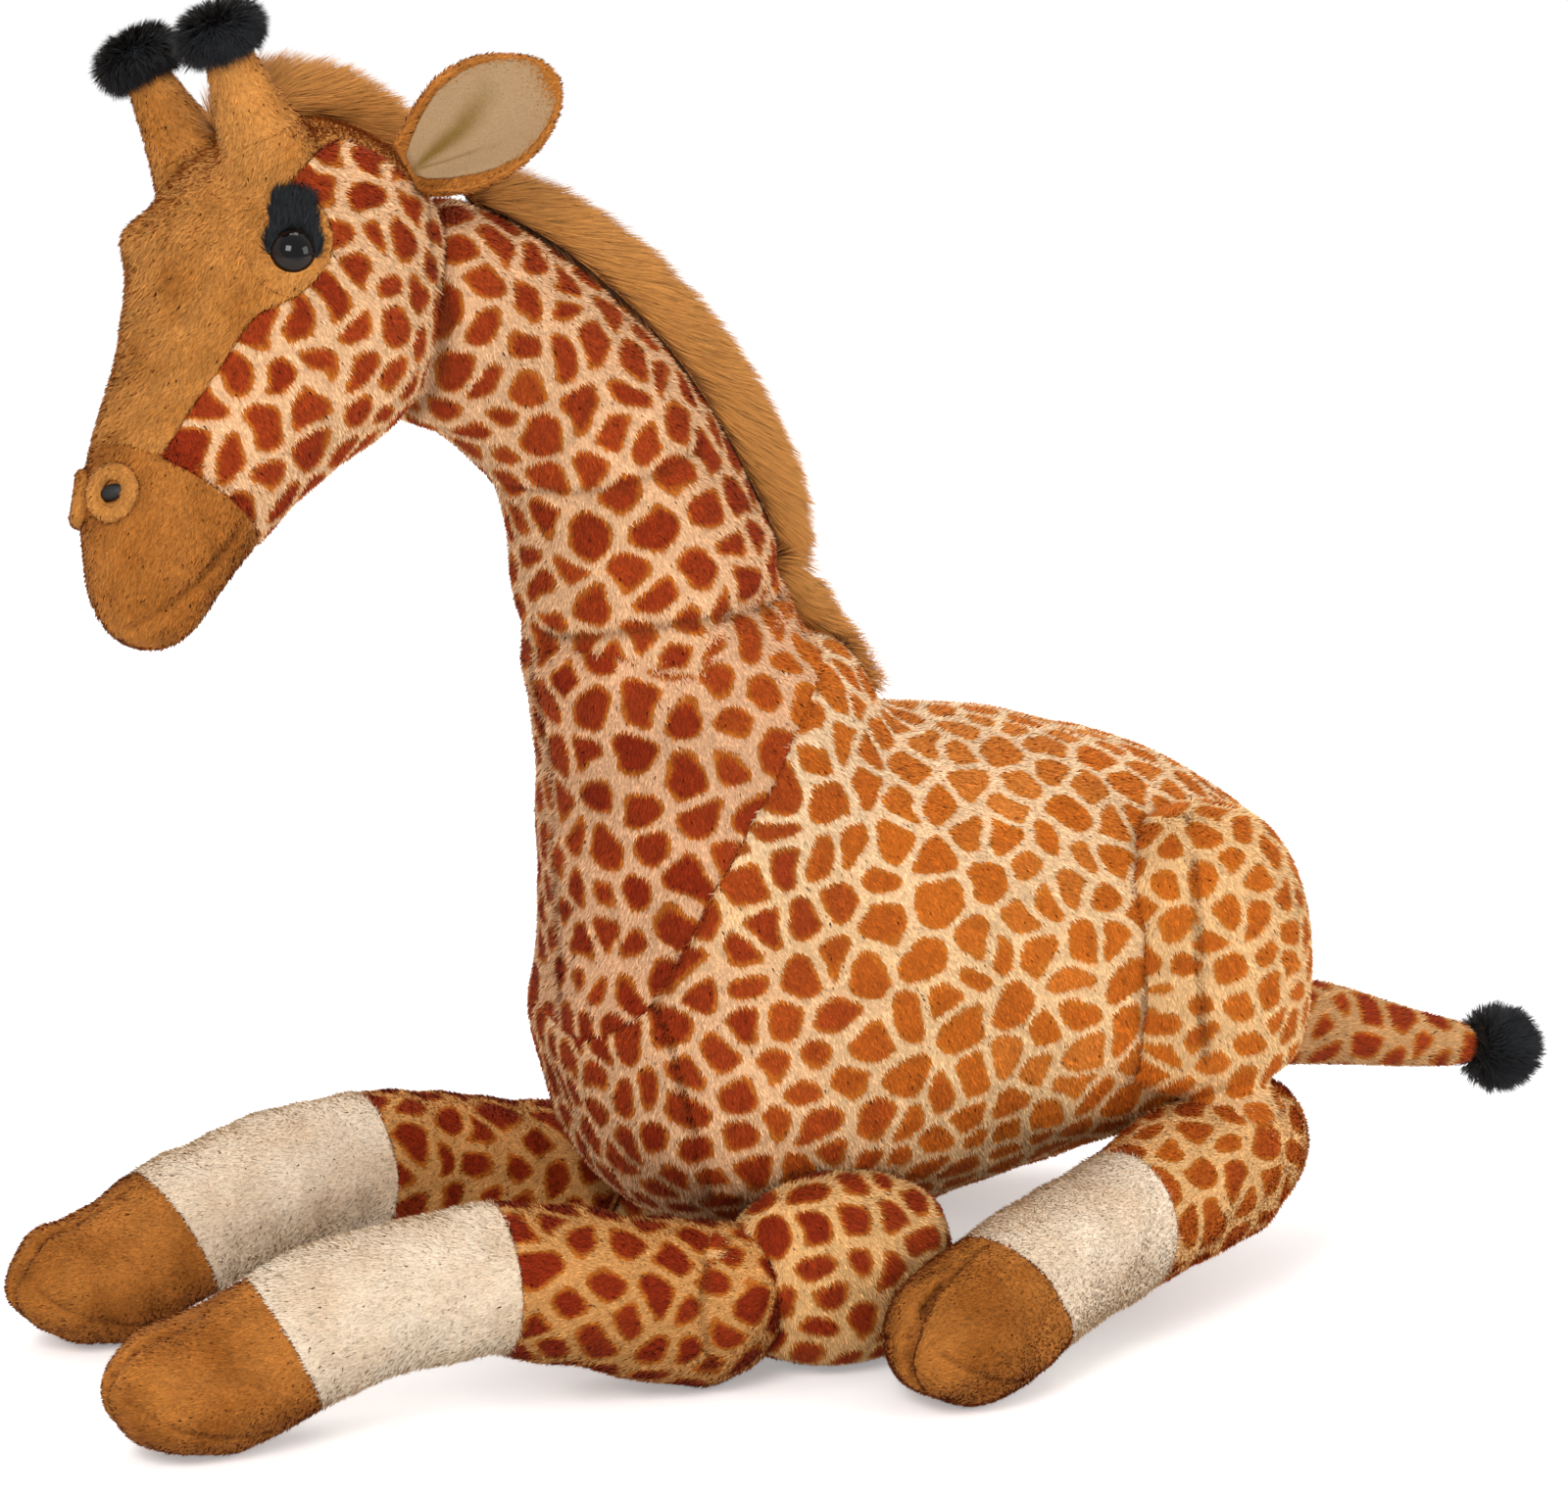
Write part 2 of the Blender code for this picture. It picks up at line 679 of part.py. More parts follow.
def build_foreleg(side, trunk, body):
    """A foreleg: the upper arm under the chest, and the lower leg that swings at the elbow."""
    sign = SIDES[side]
    spread = FORELEG_SPACING
    hinge = on_torso(FORELEG_HINGE_SHARE, 0.0, sign * spread)
    hinge.z = FORELEG_HEIGHT * FORELEG_SHARES[1][1]
    frame = leg_frame(FORELEG_TURNS[side])
    centre = Vector((
        hinge.x + UPPER_ARM_BEHIND_HINGE,
        sign * (spread + UPPER_ARM_OUTWARD),
        UPPER_ARM_HEIGHT / 2.0,
    ))
    size = (UPPER_ARM_LENGTH, UPPER_ARM_WIDTH, UPPER_ARM_HEIGHT)
    arm = loft("upper_arm_form_" + side, oval_rows(centre, *size, ACROSS.cross(UPWARD)), LIMB_SIDES)
    settle(arm)
    upper_arm = copied(arm, "upper_arm_" + side, PLUSH_PRINT)
    socket(upper_arm, hinge, FORELEG_RADIUS)
    seat_on(upper_arm, trunk)
    socket(body, hinge, FORELEG_RADIUS)
    rows = leg_rows(FORELEG_SHARES, FORELEG_LENGTH, FORELEG_HEIGHT, FORELEG_RADIUS, frame, hinge)
    leg = loft("foreleg_form_" + side, rows, LIMB_SIDES)
    round_end(leg, hinge, FORELEG_RADIUS, frame @ Vector((-1.0, 0.0, 0.0)))
    settle(leg)
    seat_on(leg, trunk)
    names = ["forearm_" + side, "fore_pastern_" + side, "fore_hoof_" + side]
    finishes = [PLUSH_PRINT, PLUSH_CREAM, PLUSH_TAN]
    split_leg(leg, names, finishes, frame, hinge, FORELEG_LENGTH, FORELEG_SEAM_SHARES,
              FORELEG_RADIUS)
    return hinge, arm


def build_hindleg(side, trunk, body, arm):
    """A hind leg: the haunch on the rump, and the folded lower leg that swings at the hock."""
    sign = SIDES[side]
    spread = HINDLEG_SPACING
    hinge = on_torso(HINDLEG_HINGE_SHARE, 0.0, sign * spread)
    hinge.z = HINDLEG_HEIGHT * HINDLEG_SHARES[1][1]
    frame = leg_frame(-sign * HINDLEG_TURN)
    rows = []
    for rise, length, width in THIGH_SHARES:
        middle = Vector((
            hinge.x - THIGH_FORWARD,
            sign * (spread - THIGH_INWARD),
            THIGH_BOTTOM_Z + THIGH_HEIGHT * rise,
        ))
        rows.append((middle, THIGH_WIDTH * width / 2.0, THIGH_LENGTH * length / 2.0))
    haunch = loft("thigh_form_" + side, rows, LIMB_SIDES)
    thigh = copied(haunch, "thigh_" + side, PLUSH_PRINT)
    socket(thigh, hinge, HINDLEG_RADIUS)
    seat_on(thigh, trunk)
    socket(body, hinge, HINDLEG_RADIUS)
    rows = leg_rows(HINDLEG_SHARES, HINDLEG_LENGTH, HINDLEG_HEIGHT, HINDLEG_RADIUS, frame, hinge)
    leg = loft("hindleg_form_" + side, rows, LIMB_SIDES)
    round_end(leg, hinge, HINDLEG_RADIUS, frame @ Vector((-1.0, 0.0, 0.0)))
    settle(leg)
    seat_on(leg, trunk, arm)
    names = ["shank_" + side, "hind_pastern_" + side, "hind_hoof_" + side]
    finishes = [PLUSH_PRINT, PLUSH_CREAM, PLUSH_TAN]
    split_leg(leg, names, finishes, frame, hinge, HINDLEG_LENGTH, HINDLEG_SEAM_SHARES,
              HINDLEG_RADIUS)
    return hinge


def build_tail(body):
    """The tail, which swings at its root, and the black tuft sewn over its end."""
    hinge = on_torso(*TAIL_HINGE_SHARES)
    rows = []
    for along, drop, radius in TAIL_SHARES:
        middle = hinge + Vector((TAIL_LENGTH * along, 0.0, -TAIL_DROP * drop))
        rows.append((middle, TAIL_RADIUS * radius, TAIL_RADIUS * radius))
    form = loft("tail_form", rows, SMALL_SIDES)
    round_end(form, hinge, TAIL_RADIUS, Vector((-1.0, 0.0, 0.0)))
    copied(form, "tail", PLUSH_PRINT)
    centre = rows[-1][0] + Vector((TUFT_LENGTH / 2.0 - TUFT_OVERLAP, 0.0, -TUFT_DROP))
    size = (TUFT_LENGTH, TUFT_RADIUS * 2.0, TUFT_RADIUS * 2.0)
    tuft = loft("tail_tuft", oval_rows(centre, *size, Vector((1.0, 0.0, 0.0))), SMALL_SIDES,
                finish=FUR_BLACK)
    seat_on(tuft, form)
    socket(body, hinge, TAIL_RADIUS)
    return hinge


def build_panels(form):
    """Parts the head form into the printed cheeks, the plain face panel and the muzzle."""
    origin = head_point(0.0)
    frame = HEAD_FRAME.to_4x4()
    muzzle_outline = [(HEAD_LENGTH * along, CUTTER_REACH * up) for along, up in MUZZLE_SEAM_SHARES]
    muzzle_outline += [(CUTTER_REACH, -CUTTER_REACH), (CUTTER_REACH, CUTTER_REACH)]
    muzzle_block = sheet_prism("muzzle_block", muzzle_outline, frame, origin)
    face_outline = [(HEAD_LENGTH * along, HEAD_DEPTH * up) for along, up in FACE_EDGE_SHARES]
    face_outline += [(CUTTER_REACH, CUTTER_REACH / 2.0), (-CUTTER_REACH / 2.0, CUTTER_REACH / 2.0)]
    face_block = sheet_prism("face_block", face_outline, frame, origin)
    head = copied(form, "head", PLUSH_PRINT)
    seat_on(head, muzzle_block, face_block)
    face = copied(form, "face_panel", PLUSH_TAN)
    boolean(face, face_block, "INTERSECT")
    seat_on(face, muzzle_block)
    muzzle = copied(form, "muzzle", PLUSH_TAN)
    boolean(muzzle, muzzle_block, "INTERSECT")
    return head, face, muzzle


def build_horn(side, form, find):
    """A horn with its flared foot on the face panel, and the black tip over its end."""
    sign = -SIDES[side]
    aim = Vector((HORN_AIM[0], HORN_AIM[1] * sign, HORN_AIM[2]))
    lean = head_way((HORN_LEAN[0], HORN_LEAN[1] * sign, HORN_LEAN[2])).normalized()
    foot, _ = find(head_point(HORN_ALONG_SHARE), head_way(aim))
    base = foot - lean * HORN_SINK
    height = HORN_LENGTH + HORN_SINK
    profile = [(0.0, height)]
    profile += [(HORN_RADIUS * radius, height * up) for radius, up in HORN_PROFILE_SHARES]
    profile += [(0.0, 0.0)]
    horn = turned("horn_" + side, profile, base, lean, PLUSH_TAN)
    whole = turned("horn_form_" + side, profile, base, lean)
    seat_on(horn, form)
    size = (HORN_TIP_HEIGHT, HORN_TIP_RADIUS * 2.0, HORN_TIP_RADIUS * 2.0)
    rows = oval_rows(foot + lean * HORN_LENGTH, *size, lean)
    tip = loft("horn_tip_" + side, rows, SMALL_SIDES, across=CHEEK, finish=FUR_BLACK)
    seat_on(tip, whole)


def ear_sheet(name, side, root, start_share, width_share, thickness, lift, finish):
    """A cupped leaf: a flat grid shaped to the ear's outline and curled, then thickened.

    The wall lies off the curled sheet by the lift, on its hollow side.
    """
    sign = -SIDES[side]
    way = head_way((EAR_WAY[0], EAR_WAY[1] * sign, EAR_WAY[2])).normalized()
    face = head_way((EAR_FACE[0], EAR_FACE[1] * sign, EAR_FACE[2]))
    face = (face - way * face.dot(way)).normalized()
    breadth = face.cross(way)
    leaf = bmesh.new()
    bmesh.ops.create_grid(leaf, x_segments=EAR_ROWS, y_segments=EAR_COLUMNS, size=1.0)
    for corner in leaf.verts:
        along = start_share + (1.0 - start_share) * (corner.co.x + 1.0) / 2.0
        across = corner.co.y
        belly = math.sin(math.pi * along ** EAR_BELLY_POWER)
        root_width = EAR_ROOT_WIDTH_SHARE * (1.0 - along)
        tip_width = EAR_TIP_ROUND_SHARE * along
        half = EAR_WIDTH * width_share / 2.0 * min(belly + root_width + tip_width, 1.0)
        reach = EAR_LENGTH * along * (1.0 - EAR_TIP_ROUND_SHARE / 2.0 * across * across)
        inset = across * width_share
        curl = EAR_CUP * along * (inset * inset - EAR_HOLLOW_SHARE)
        reach -= EAR_SETBACK
        corner.co = root + way * reach + breadth * (across * half) + face * curl
    bmesh.ops.recalc_face_normals(leaf, faces=leaf.faces[:])
    mesh = bpy.data.meshes.new(name)
    leaf.to_mesh(mesh)
    leaf.free()
    piece = place(name, mesh, PARTS, finish)
    wall = piece.modifiers.new("thickness", "SOLIDIFY")
    wall.thickness = thickness
    wall.offset = 2.0 * lift / thickness
    smooth = piece.modifiers.new("soft_edge", "SUBSURF")
    smooth.levels = 1
    smooth.render_levels = 1
    return piece


def build_ear(side, find):
    """An ear that flaps about its root, which lies along the side of the head."""
    sign = -SIDES[side]
    aim = head_way((EAR_AIM[0], EAR_AIM[1] * sign, EAR_AIM[2]))
    spot, outward = find(head_point(EAR_ALONG_SHARE), aim)
    root = spot + outward * (EAR_THICKNESS / 2.0 + CLEARANCE)
    ear_sheet("ear_" + side, side, root, 0.0, 1.0, EAR_THICKNESS, 0.0, PLUSH_TAN)
    lift = (EAR_THICKNESS + EAR_LINING_THICKNESS) / 2.0 + EAR_LINING_GAP
    ear_sheet("ear_lining_" + side, side, root, EAR_LINING_START_SHARE, EAR_LINING_WIDTH_SHARE,
              EAR_LINING_THICKNESS, lift, LINING_PEACH)
    return root


def arc_rows(centre, start, normal, radius, sweep, lift, half_wide, half_tall, count=5):
    """Rings along an arc about a point, thinner at the ends."""
    rows = []
    for step in range(count):
        share = step / (count - 1)
        turn = Matrix.Rotation(sweep * (share - 0.5), 3, normal)
        middle = centre + turn @ start * radius + normal * lift
        taper = ARC_END_SHARE + (1.0 - ARC_END_SHARE) * math.sin(math.pi * share)
        rows.append((middle, half_wide * taper, half_tall * taper))
    return rows


def build_eye(side, find, pieces, form):
    """A safety eye with its shank and washer, its lid and its lashes."""
    sign = -SIDES[side]
    aim = head_way((EYE_AIM[0], EYE_AIM[1] * sign, EYE_AIM[2]))
    spot, normal = find(head_point(EYE_ALONG_SHARE), aim)
    middle = spot - normal * EYE_SINK
    dome = []
    for step in range(EYE_DOME_STEPS + 1):
        turn = EYE_DOME_TURN * step / EYE_DOME_STEPS
        dome.append((EYE_RADIUS * math.sin(turn), EYE_RADIUS * math.cos(turn)))
    back = dome[-1][1]
    profile = dome + [
        (EYE_SHANK_RADIUS, back),
        (EYE_SHANK_RADIUS, -EYE_SHANK_LENGTH),
        (0.0, -EYE_SHANK_LENGTH),
    ]
    eye = turned("eye_" + side, profile, middle, normal, EYE_GLOSS)
    bore = WASHER_THICKNESS / 2.0
    ring = (
        (EYE_SHANK_RADIUS + CLEARANCE, bore),
        (WASHER_RADIUS, bore),
        (WASHER_RADIUS, -bore),
        (EYE_SHANK_RADIUS + CLEARANCE, -bore),
        (EYE_SHANK_RADIUS + CLEARANCE, bore),
    )
    turned("eye_washer_" + side, ring, middle - normal * WASHER_DEPTH, normal, WASHER_WHITE)
    room = WASHER_RADIUS + CLEARANCE
    depth = WASHER_THICKNESS / 2.0 + CLEARANCE
    slot = EYE_SHANK_RADIUS + CLEARANCE * 2.0
    floor = EYE_SHANK_LENGTH + CLEARANCE
    loose = (EYE_RADIUS + CLEARANCE) / EYE_RADIUS
    hollow = [(radius * loose, height * loose) for radius, height in dome]
    hollow += [
        (slot, hollow[-1][1]),
        (slot, depth - WASHER_DEPTH),
        (room, depth - WASHER_DEPTH),
        (room, -depth - WASHER_DEPTH),
        (slot, -depth - WASHER_DEPTH),
        (slot, -floor),
        (0.0, -floor),
    ]
    pocket = turned("eye_pocket_" + side, hollow, middle, normal)
    for piece in pieces:
        boolean(piece, pocket)
    nose = (NOSE - normal * NOSE.dot(normal)).normalized()
    brow = (BROW - normal * BROW.dot(normal)).normalized()
    lid_way = (nose * LID_AIM[0] + brow * LID_AIM[1]).normalized()
    lid_rows = arc_rows(middle, lid_way, normal, LID_RADIUS, LID_SWEEP, LID_THICKNESS / 2.0,
                        LID_THICKNESS / 2.0, LID_THICKNESS / 2.0)
    lid = loft("eyelid_" + side, lid_rows, SMALL_SIDES, across=normal, finish=PLUSH_TAN)
    lash_way = (nose * LASH_AIM[0] + brow * LASH_AIM[1]).normalized()
    lash_rows = arc_rows(middle, lash_way, normal, LASH_RADIUS, LASH_SWEEP, LASH_LIFT,
                         LASH_DEPTH / 2.0, LASH_THICKNESS / 2.0)
    lash = loft("eyelash_" + side, lash_rows, SMALL_SIDES, across=normal, finish=FUR_BLACK)
    seat_on(lid, form, eye)
    seat_on(lash, form, lid, eye)


def build_nostril(side, form, find):
    """A nostril: a padded ring with a smooth black insert."""
    sign = -SIDES[side]
    aim = head_way((NOSTRIL_AIM[0], NOSTRIL_AIM[1] * sign, NOSTRIL_AIM[2]))
    spot, normal = find(head_point(NOSTRIL_ALONG_SHARE), aim)
    tube = NOSTRIL_RIM_THICKNESS / 2.0
    profile = []
    for step in range(NOSTRIL_RIM_STEPS + 1):
        turn = math.tau * step / NOSTRIL_RIM_STEPS
        profile.append((NOSTRIL_RIM_RADIUS + tube * math.sin(turn), tube * math.cos(turn)))
    rim = turned("nostril_rim_" + side, profile, spot, normal, PLUSH_TAN)
    seat_on(rim, form)
    shape = bmesh.new()
    bmesh.ops.create_uvsphere(shape, u_segments=TURNED_STEPS, v_segments=SMALL_SIDES, radius=1.0)
    size = (NOSTRIL_LENGTH / 2.0, NOSTRIL_WIDTH / 2.0, NOSTRIL_HEIGHT / 2.0)
    bmesh.ops.scale(shape, vec=size, verts=shape.verts)
    mesh = bpy.data.meshes.new("nostril_" + side)
    shape.to_mesh(mesh)
    shape.free()
    insert = place("nostril_" + side, mesh, PARTS, EYE_GLOSS)
    slant = NOSE * NOSTRIL_SLANT[0] + CHEEK * (sign * NOSTRIL_SLANT[1])
    slant = (slant - normal * slant.dot(normal)).normalized()
    turn = Matrix((slant, normal.cross(slant), normal)).transposed().to_4x4()
    insert.matrix_basis = Matrix.Translation(spot) @ turn
    seat_on(insert, form, rim)


def mane_strip(name, spots, shares, forms):
    """A length of the mane: a crest along the given back points, seated on what carries it."""
    rows = []
    for (point, outward), share in zip(spots, shares):
        tall = (MANE_HEIGHT * share + MANE_SINK) / 2.0
        middle = point + outward * (MANE_HEIGHT * share / 2.0 - MANE_SINK / 2.0)
        root_share = MANE_ROOT_WIDTH_SHARE + (1.0 - MANE_ROOT_WIDTH_SHARE) * share
        rows.append((middle, MANE_WIDTH * root_share / 2.0, tall))
    strip = loft(name, rows, SMALL_SIDES, finish=PILE_GINGER)
    seat_on(strip, *forms)


def back_spots(rows, span_shares, count):
    """Points along the back of a neck form, with the way that faces backward at each."""
    spots = []
    start, end = [share * (len(rows) - 1) for share in span_shares]
    for step in range(count):
        reached = start + (end - start) * step / (count - 1)
        index = min(int(reached), len(rows) - 2)
        part = reached - index
        centre = rows[index][0].lerp(rows[index + 1][0], part)
        radius = rows[index][1] * (1.0 - part) + rows[index + 1][1] * part
        along = (rows[index + 1][0] - rows[index][0]).normalized()
        outward = ACROSS.cross(along).normalized()
        spots.append((centre + outward * radius, outward))
    return spots


def crown_spots(find, count):
    """Points over the back of the head, from between the horns to the neck."""
    spots = []
    for step in range(count):
        part = step / (count - 1)
        turn = MANE_CROWN_START + (MANE_CROWN_END - MANE_CROWN_START) * part
        way = head_way((math.cos(turn), 0.0, math.sin(turn)))
        spots.append(find(HEAD_CENTRE, way))
    return spots


def part_trunk(trunk):
    """Parts the trunk at the slanted shoulder seam into the body and the lower neck."""
    forward = math.sin(SHOULDER_SEAM_SLOPE)
    way = Vector((-forward, 0.0, math.cos(SHOULDER_SEAM_SLOPE)))
    seam = on_torso(*SHOULDER_SEAM_SHARES)
    shift = way * (CLEARANCE / 2.0)
    body = copied(trunk, "body", PLUSH_PRINT)
    boolean(body, half_space("body_front", seam - shift, way))
    neck_lower = copied(trunk, "neck_lower", PLUSH_PRINT)
    boolean(neck_lower, half_space("neck_lower_back", seam + shift, -way))
    return body


def build():
    """Makes every part of the giraffe."""
    lower_rows = neck_lower_rows()
    lower_form = loft("neck_lower_form", lower_rows, BODY_SIDES)
    round_end(lower_form, NECK_FOLD, NECK_FOLD_RADIUS, UPWARD, NECK_BALL_SEGMENTS)
    trunk = body_form()
    boolean(trunk, lower_form, "UNION")
    body = part_trunk(trunk)
    upper_rows = neck_upper_rows()
    upper_form = loft("neck_upper_form", upper_rows, BODY_SIDES)
    round_end(upper_form, NECK_TOP, NECK_TOP_RADIUS, NECK_TOP_WAY, NECK_BALL_SEGMENTS)
    neck_upper = copied(upper_form, "neck_upper", PLUSH_PRINT)
    socket(neck_upper, NECK_FOLD, NECK_FOLD_RADIUS, NECK_BALL_SEGMENTS)
    skull = head_form()
    head, face, muzzle = build_panels(skull)
    socket(head, NECK_TOP, NECK_TOP_RADIUS, NECK_BALL_SEGMENTS)
    find = surface_finder(skull)
    hinges = {"neck_fold": NECK_FOLD, "neck_top": NECK_TOP}
    for side in SIDES:
        build_horn(side, skull, find)
        hinges["ear_" + side] = build_ear(side, find)
        build_eye(side, find, (head, face), skull)
        build_nostril(side, skull, find)
        hinges["foreleg_" + side], arm = build_foreleg(side, trunk, body)
        hinges["hindleg_" + side] = build_hindleg(side, trunk, body, arm)
    hinges["tail"] = build_tail(body)
    count = len(MANE_LOWER_SHARES)
    spots = back_spots(lower_rows, MANE_LOWER_SPAN_SHARES, count)
    mane_strip("mane_lower", spots, MANE_LOWER_SHARES, (trunk,))
    spots = back_spots(upper_rows, MANE_UPPER_SPAN_SHARES, len(MANE_UPPER_SHARES))
    mane_strip("mane_upper", spots, MANE_UPPER_SHARES, (upper_form, skull))
    spots = crown_spots(find, len(MANE_CROWN_SHARES))
    mane_strip("mane_crown", spots, MANE_CROWN_SHARES, (skull,))
    return hinges


def centre_on_origin():
    """Moves the whole toy so that its bounds are centred over the origin."""
    bpy.context.view_layer.update()
    low = Vector((math.inf, math.inf, math.inf))
    high = -low
    for piece in PARTS.objects:
        if piece.type != "MESH":
            continue
        mesh = evaluated_mesh(piece)
        for corner in mesh.vertices:
            for axis in range(3):
                low[axis] = min(low[axis], corner.co[axis])
                high[axis] = max(high[axis], corner.co[axis])
    ROOT.location = (-(low.x + high.x) / 2.0, -(low.y + high.y) / 2.0, 0.0)
    bpy.context.view_layer.update()
    return low, high


HINGES = build()
LOW, HIGH = centre_on_origin()
for label, spot in HINGES.items():
    print(label, [round(value, 4) for value in spot + ROOT.location])
print("size", [round(value, 4) for value in HIGH - LOW])
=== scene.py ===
"""Looks of the lying plush giraffe: stuffed covers with their seams, short printed pile, a combed
mane, black fur, glossy eyes, and a plain studio around it. Metres, +Z up, facing -X."""
import json
import math

import bpy
import numpy as np
from mathutils import Matrix, Vector
from mathutils.bvhtree import BVHTree


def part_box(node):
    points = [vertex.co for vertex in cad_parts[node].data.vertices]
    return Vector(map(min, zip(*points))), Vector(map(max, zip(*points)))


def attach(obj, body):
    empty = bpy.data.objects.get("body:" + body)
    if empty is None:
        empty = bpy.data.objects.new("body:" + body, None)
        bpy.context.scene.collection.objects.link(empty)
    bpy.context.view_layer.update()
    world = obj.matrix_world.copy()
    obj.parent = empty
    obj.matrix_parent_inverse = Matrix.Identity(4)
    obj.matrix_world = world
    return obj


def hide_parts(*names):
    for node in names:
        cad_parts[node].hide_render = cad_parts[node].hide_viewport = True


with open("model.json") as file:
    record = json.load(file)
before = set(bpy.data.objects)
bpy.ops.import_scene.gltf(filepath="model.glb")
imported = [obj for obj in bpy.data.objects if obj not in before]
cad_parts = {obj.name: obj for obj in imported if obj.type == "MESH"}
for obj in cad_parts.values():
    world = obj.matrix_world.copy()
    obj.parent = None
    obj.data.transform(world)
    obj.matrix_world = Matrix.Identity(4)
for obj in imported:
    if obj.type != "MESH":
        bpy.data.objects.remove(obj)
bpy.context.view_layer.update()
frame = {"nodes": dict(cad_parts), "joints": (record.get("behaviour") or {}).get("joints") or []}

MM = 0.001
UPWARD = Vector((0.0, 0.0, 1.0))
SIDES = {"left": -1.0, "right": 1.0}
PILE_SHARE = 1.0
FLOOR_LIFT = 0.3 * MM
# Points nearer than this are merged
MERGE = 0.00001
QUICK_WIDTH = 2.2
# Steps that spread the roots of fibres evenly over a triangle
ROOT_STEPS = (0.7548777, 0.5698403)
# Fibres of one small cube lean alike: what turns its place into a row of the table of leans
CLUMP_PRIMES = (73856093, 19349663, 83492791)
CLUMPS = 4096
PATCH_TRIES = 9000
PRINT_BATCH = 8000
DRUM_CORNERS = 24
DOME_RINGS = 28
# How far a nostril's slot is turned about the way it faces, in degrees
NOSTRIL_TURN = 42.0

# Places that the solids give, in the shared frame
HINGES = {joint["name"]: Vector(joint["pos_m"]) for joint in frame["joints"]}
NECK_FOLD = HINGES["neck_lean"]
NECK_TOP = HINGES["head_nod"]
FORE_HINGES = {side: HINGES["foreleg_" + side + "_spread"] for side in SIDES}
HIND_HINGES = {side: HINGES["hindleg_" + side + "_spread"] for side in SIDES}
TAIL_HINGE = HINGES["tail_swing"]
NOSE = Vector((-0.5655, -0.3420, -0.7505))
CHEEK = Vector((0.2058, -0.9397, 0.2731))
BROW = Vector((-0.7986, 0.0, 0.6018))
CROWN = Vector((-0.2216, 0.0133, 0.5495))
HEAD_LENGTH = 0.248
HEAD_DEPTH = 0.140
EYE_RADIUS = 0.0102
EYES = {
    # middle of the eye, and the way it looks
    "left": (Vector((-0.2760, -0.0640, 0.5166)), Vector((-0.1270, -0.8444, 0.5205))),
    "right": (Vector((-0.2976, 0.0346, 0.4879)), Vector((-0.5014, 0.8649, 0.0237))),
}
NOSTRILS = {
    "left": (Vector((-0.3576, -0.0676, 0.4229)), Vector((-0.7393, -0.5308, 0.4144))),
    "right": (Vector((-0.3632, -0.0424, 0.4156)), Vector((-0.9286, 0.3334, 0.1632))),
}
HORNS = {
    # foot on the face panel, and the way it leans
    "left": (Vector((-0.2741, -0.0278, 0.5544)), Vector((-0.3262, 0.0751, 0.9423))),
    "right": (Vector((-0.2861, 0.0269, 0.5384)), Vector((-0.3754, 0.3000, 0.8769))),
}
EARS = {
    # root, the way it points, and the way its hollow faces
    "left": (Vector((-0.2111, -0.0275, 0.5460)), Vector((0.8565, -0.2454, 0.4541)),
             Vector((-0.3888, -0.8853, 0.2550))),
    "right": (Vector((-0.2274, 0.0467, 0.5244)), Vector((0.6379, 0.7524, 0.1641)),
              Vector((-0.7270, 0.6587, -0.1938))),
}
FORE_WAYS = {"left": Vector((-0.9986, 0.0523, 0.0)), "right": Vector((-0.9925, -0.1219, 0.0))}
HIND_WAYS = {"left": Vector((-0.9272, -0.3746, 0.0)), "right": Vector((-0.9272, 0.3746, 0.0))}
FORE_LENGTH = 0.270
HIND_LENGTH = 0.214
HOOF_LEAN = math.radians(25.0)

# Folds, creases and sewn lines on the left side, in the shared frame
NECK_FOLD_LINE = [(-0.1452, -0.0110, 0.3275), (-0.1382, -0.0309, 0.3299), (-0.1274, -0.0442, 0.3336),
                  (-0.1128, -0.0537, 0.3360), (-0.0961, -0.0583, 0.3385), (-0.0737, -0.0550, 0.3395),
                  (-0.0493, -0.0446, 0.3401), (-0.0330, -0.0290, 0.3405)]
NECK_WRINKLE = [(-0.1590, -0.0099, 0.3961), (-0.1486, -0.0298, 0.3966), (-0.1348, -0.0412, 0.3972),
                (-0.1190, -0.0476, 0.3997), (-0.1006, -0.0477, 0.4063), (-0.0805, -0.0387, 0.4115)]
NECK_CROSS = [(-0.1511, -0.0364, 0.4120), (-0.1443, -0.0425, 0.4204), (-0.1373, -0.0458, 0.4321),
              (-0.1334, -0.0456, 0.4434)]
CHEST_SEAM = [(-0.1163, -0.0640, 0.1693), (-0.1111, -0.0738, 0.1551), (-0.1089, -0.0773, 0.1377),
              (-0.1029, -0.0783, 0.1144), (-0.0933, -0.0713, 0.0879), (-0.0900, -0.0640, 0.0700)]
HAUNCH_SEAM = [(0.1393, -0.0843, 0.2317), (0.1326, -0.1033, 0.2153), (0.1302, -0.1127, 0.1906),
               (0.1304, -0.1161, 0.1638), (0.1326, -0.1157, 0.1403), (0.1356, -0.1144, 0.1255)]
ELBOW_FOLD = [(-0.0999, -0.1028, 0.0705), (-0.1116, -0.1179, 0.0644), (-0.1183, -0.1269, 0.0502),
              (-0.1170, -0.1280, 0.0321), (-0.1114, -0.1213, 0.0152)]
MOUTH = [(-0.3065, -0.0797, 0.4042), (-0.3134, -0.0819, 0.3978), (-0.3217, -0.0842, 0.3899),
         (-0.3312, -0.0866, 0.3826), (-0.3422, -0.0870, 0.3758), (-0.3518, -0.0831, 0.3692),
         (-0.3559, -0.0785, 0.3656)]
BROW_CREASE = [(-0.2946, -0.0539, 0.5273), (-0.3007, -0.0584, 0.5161), (-0.3011, -0.0638, 0.5047),
               (-0.2937, -0.0694, 0.4993)]
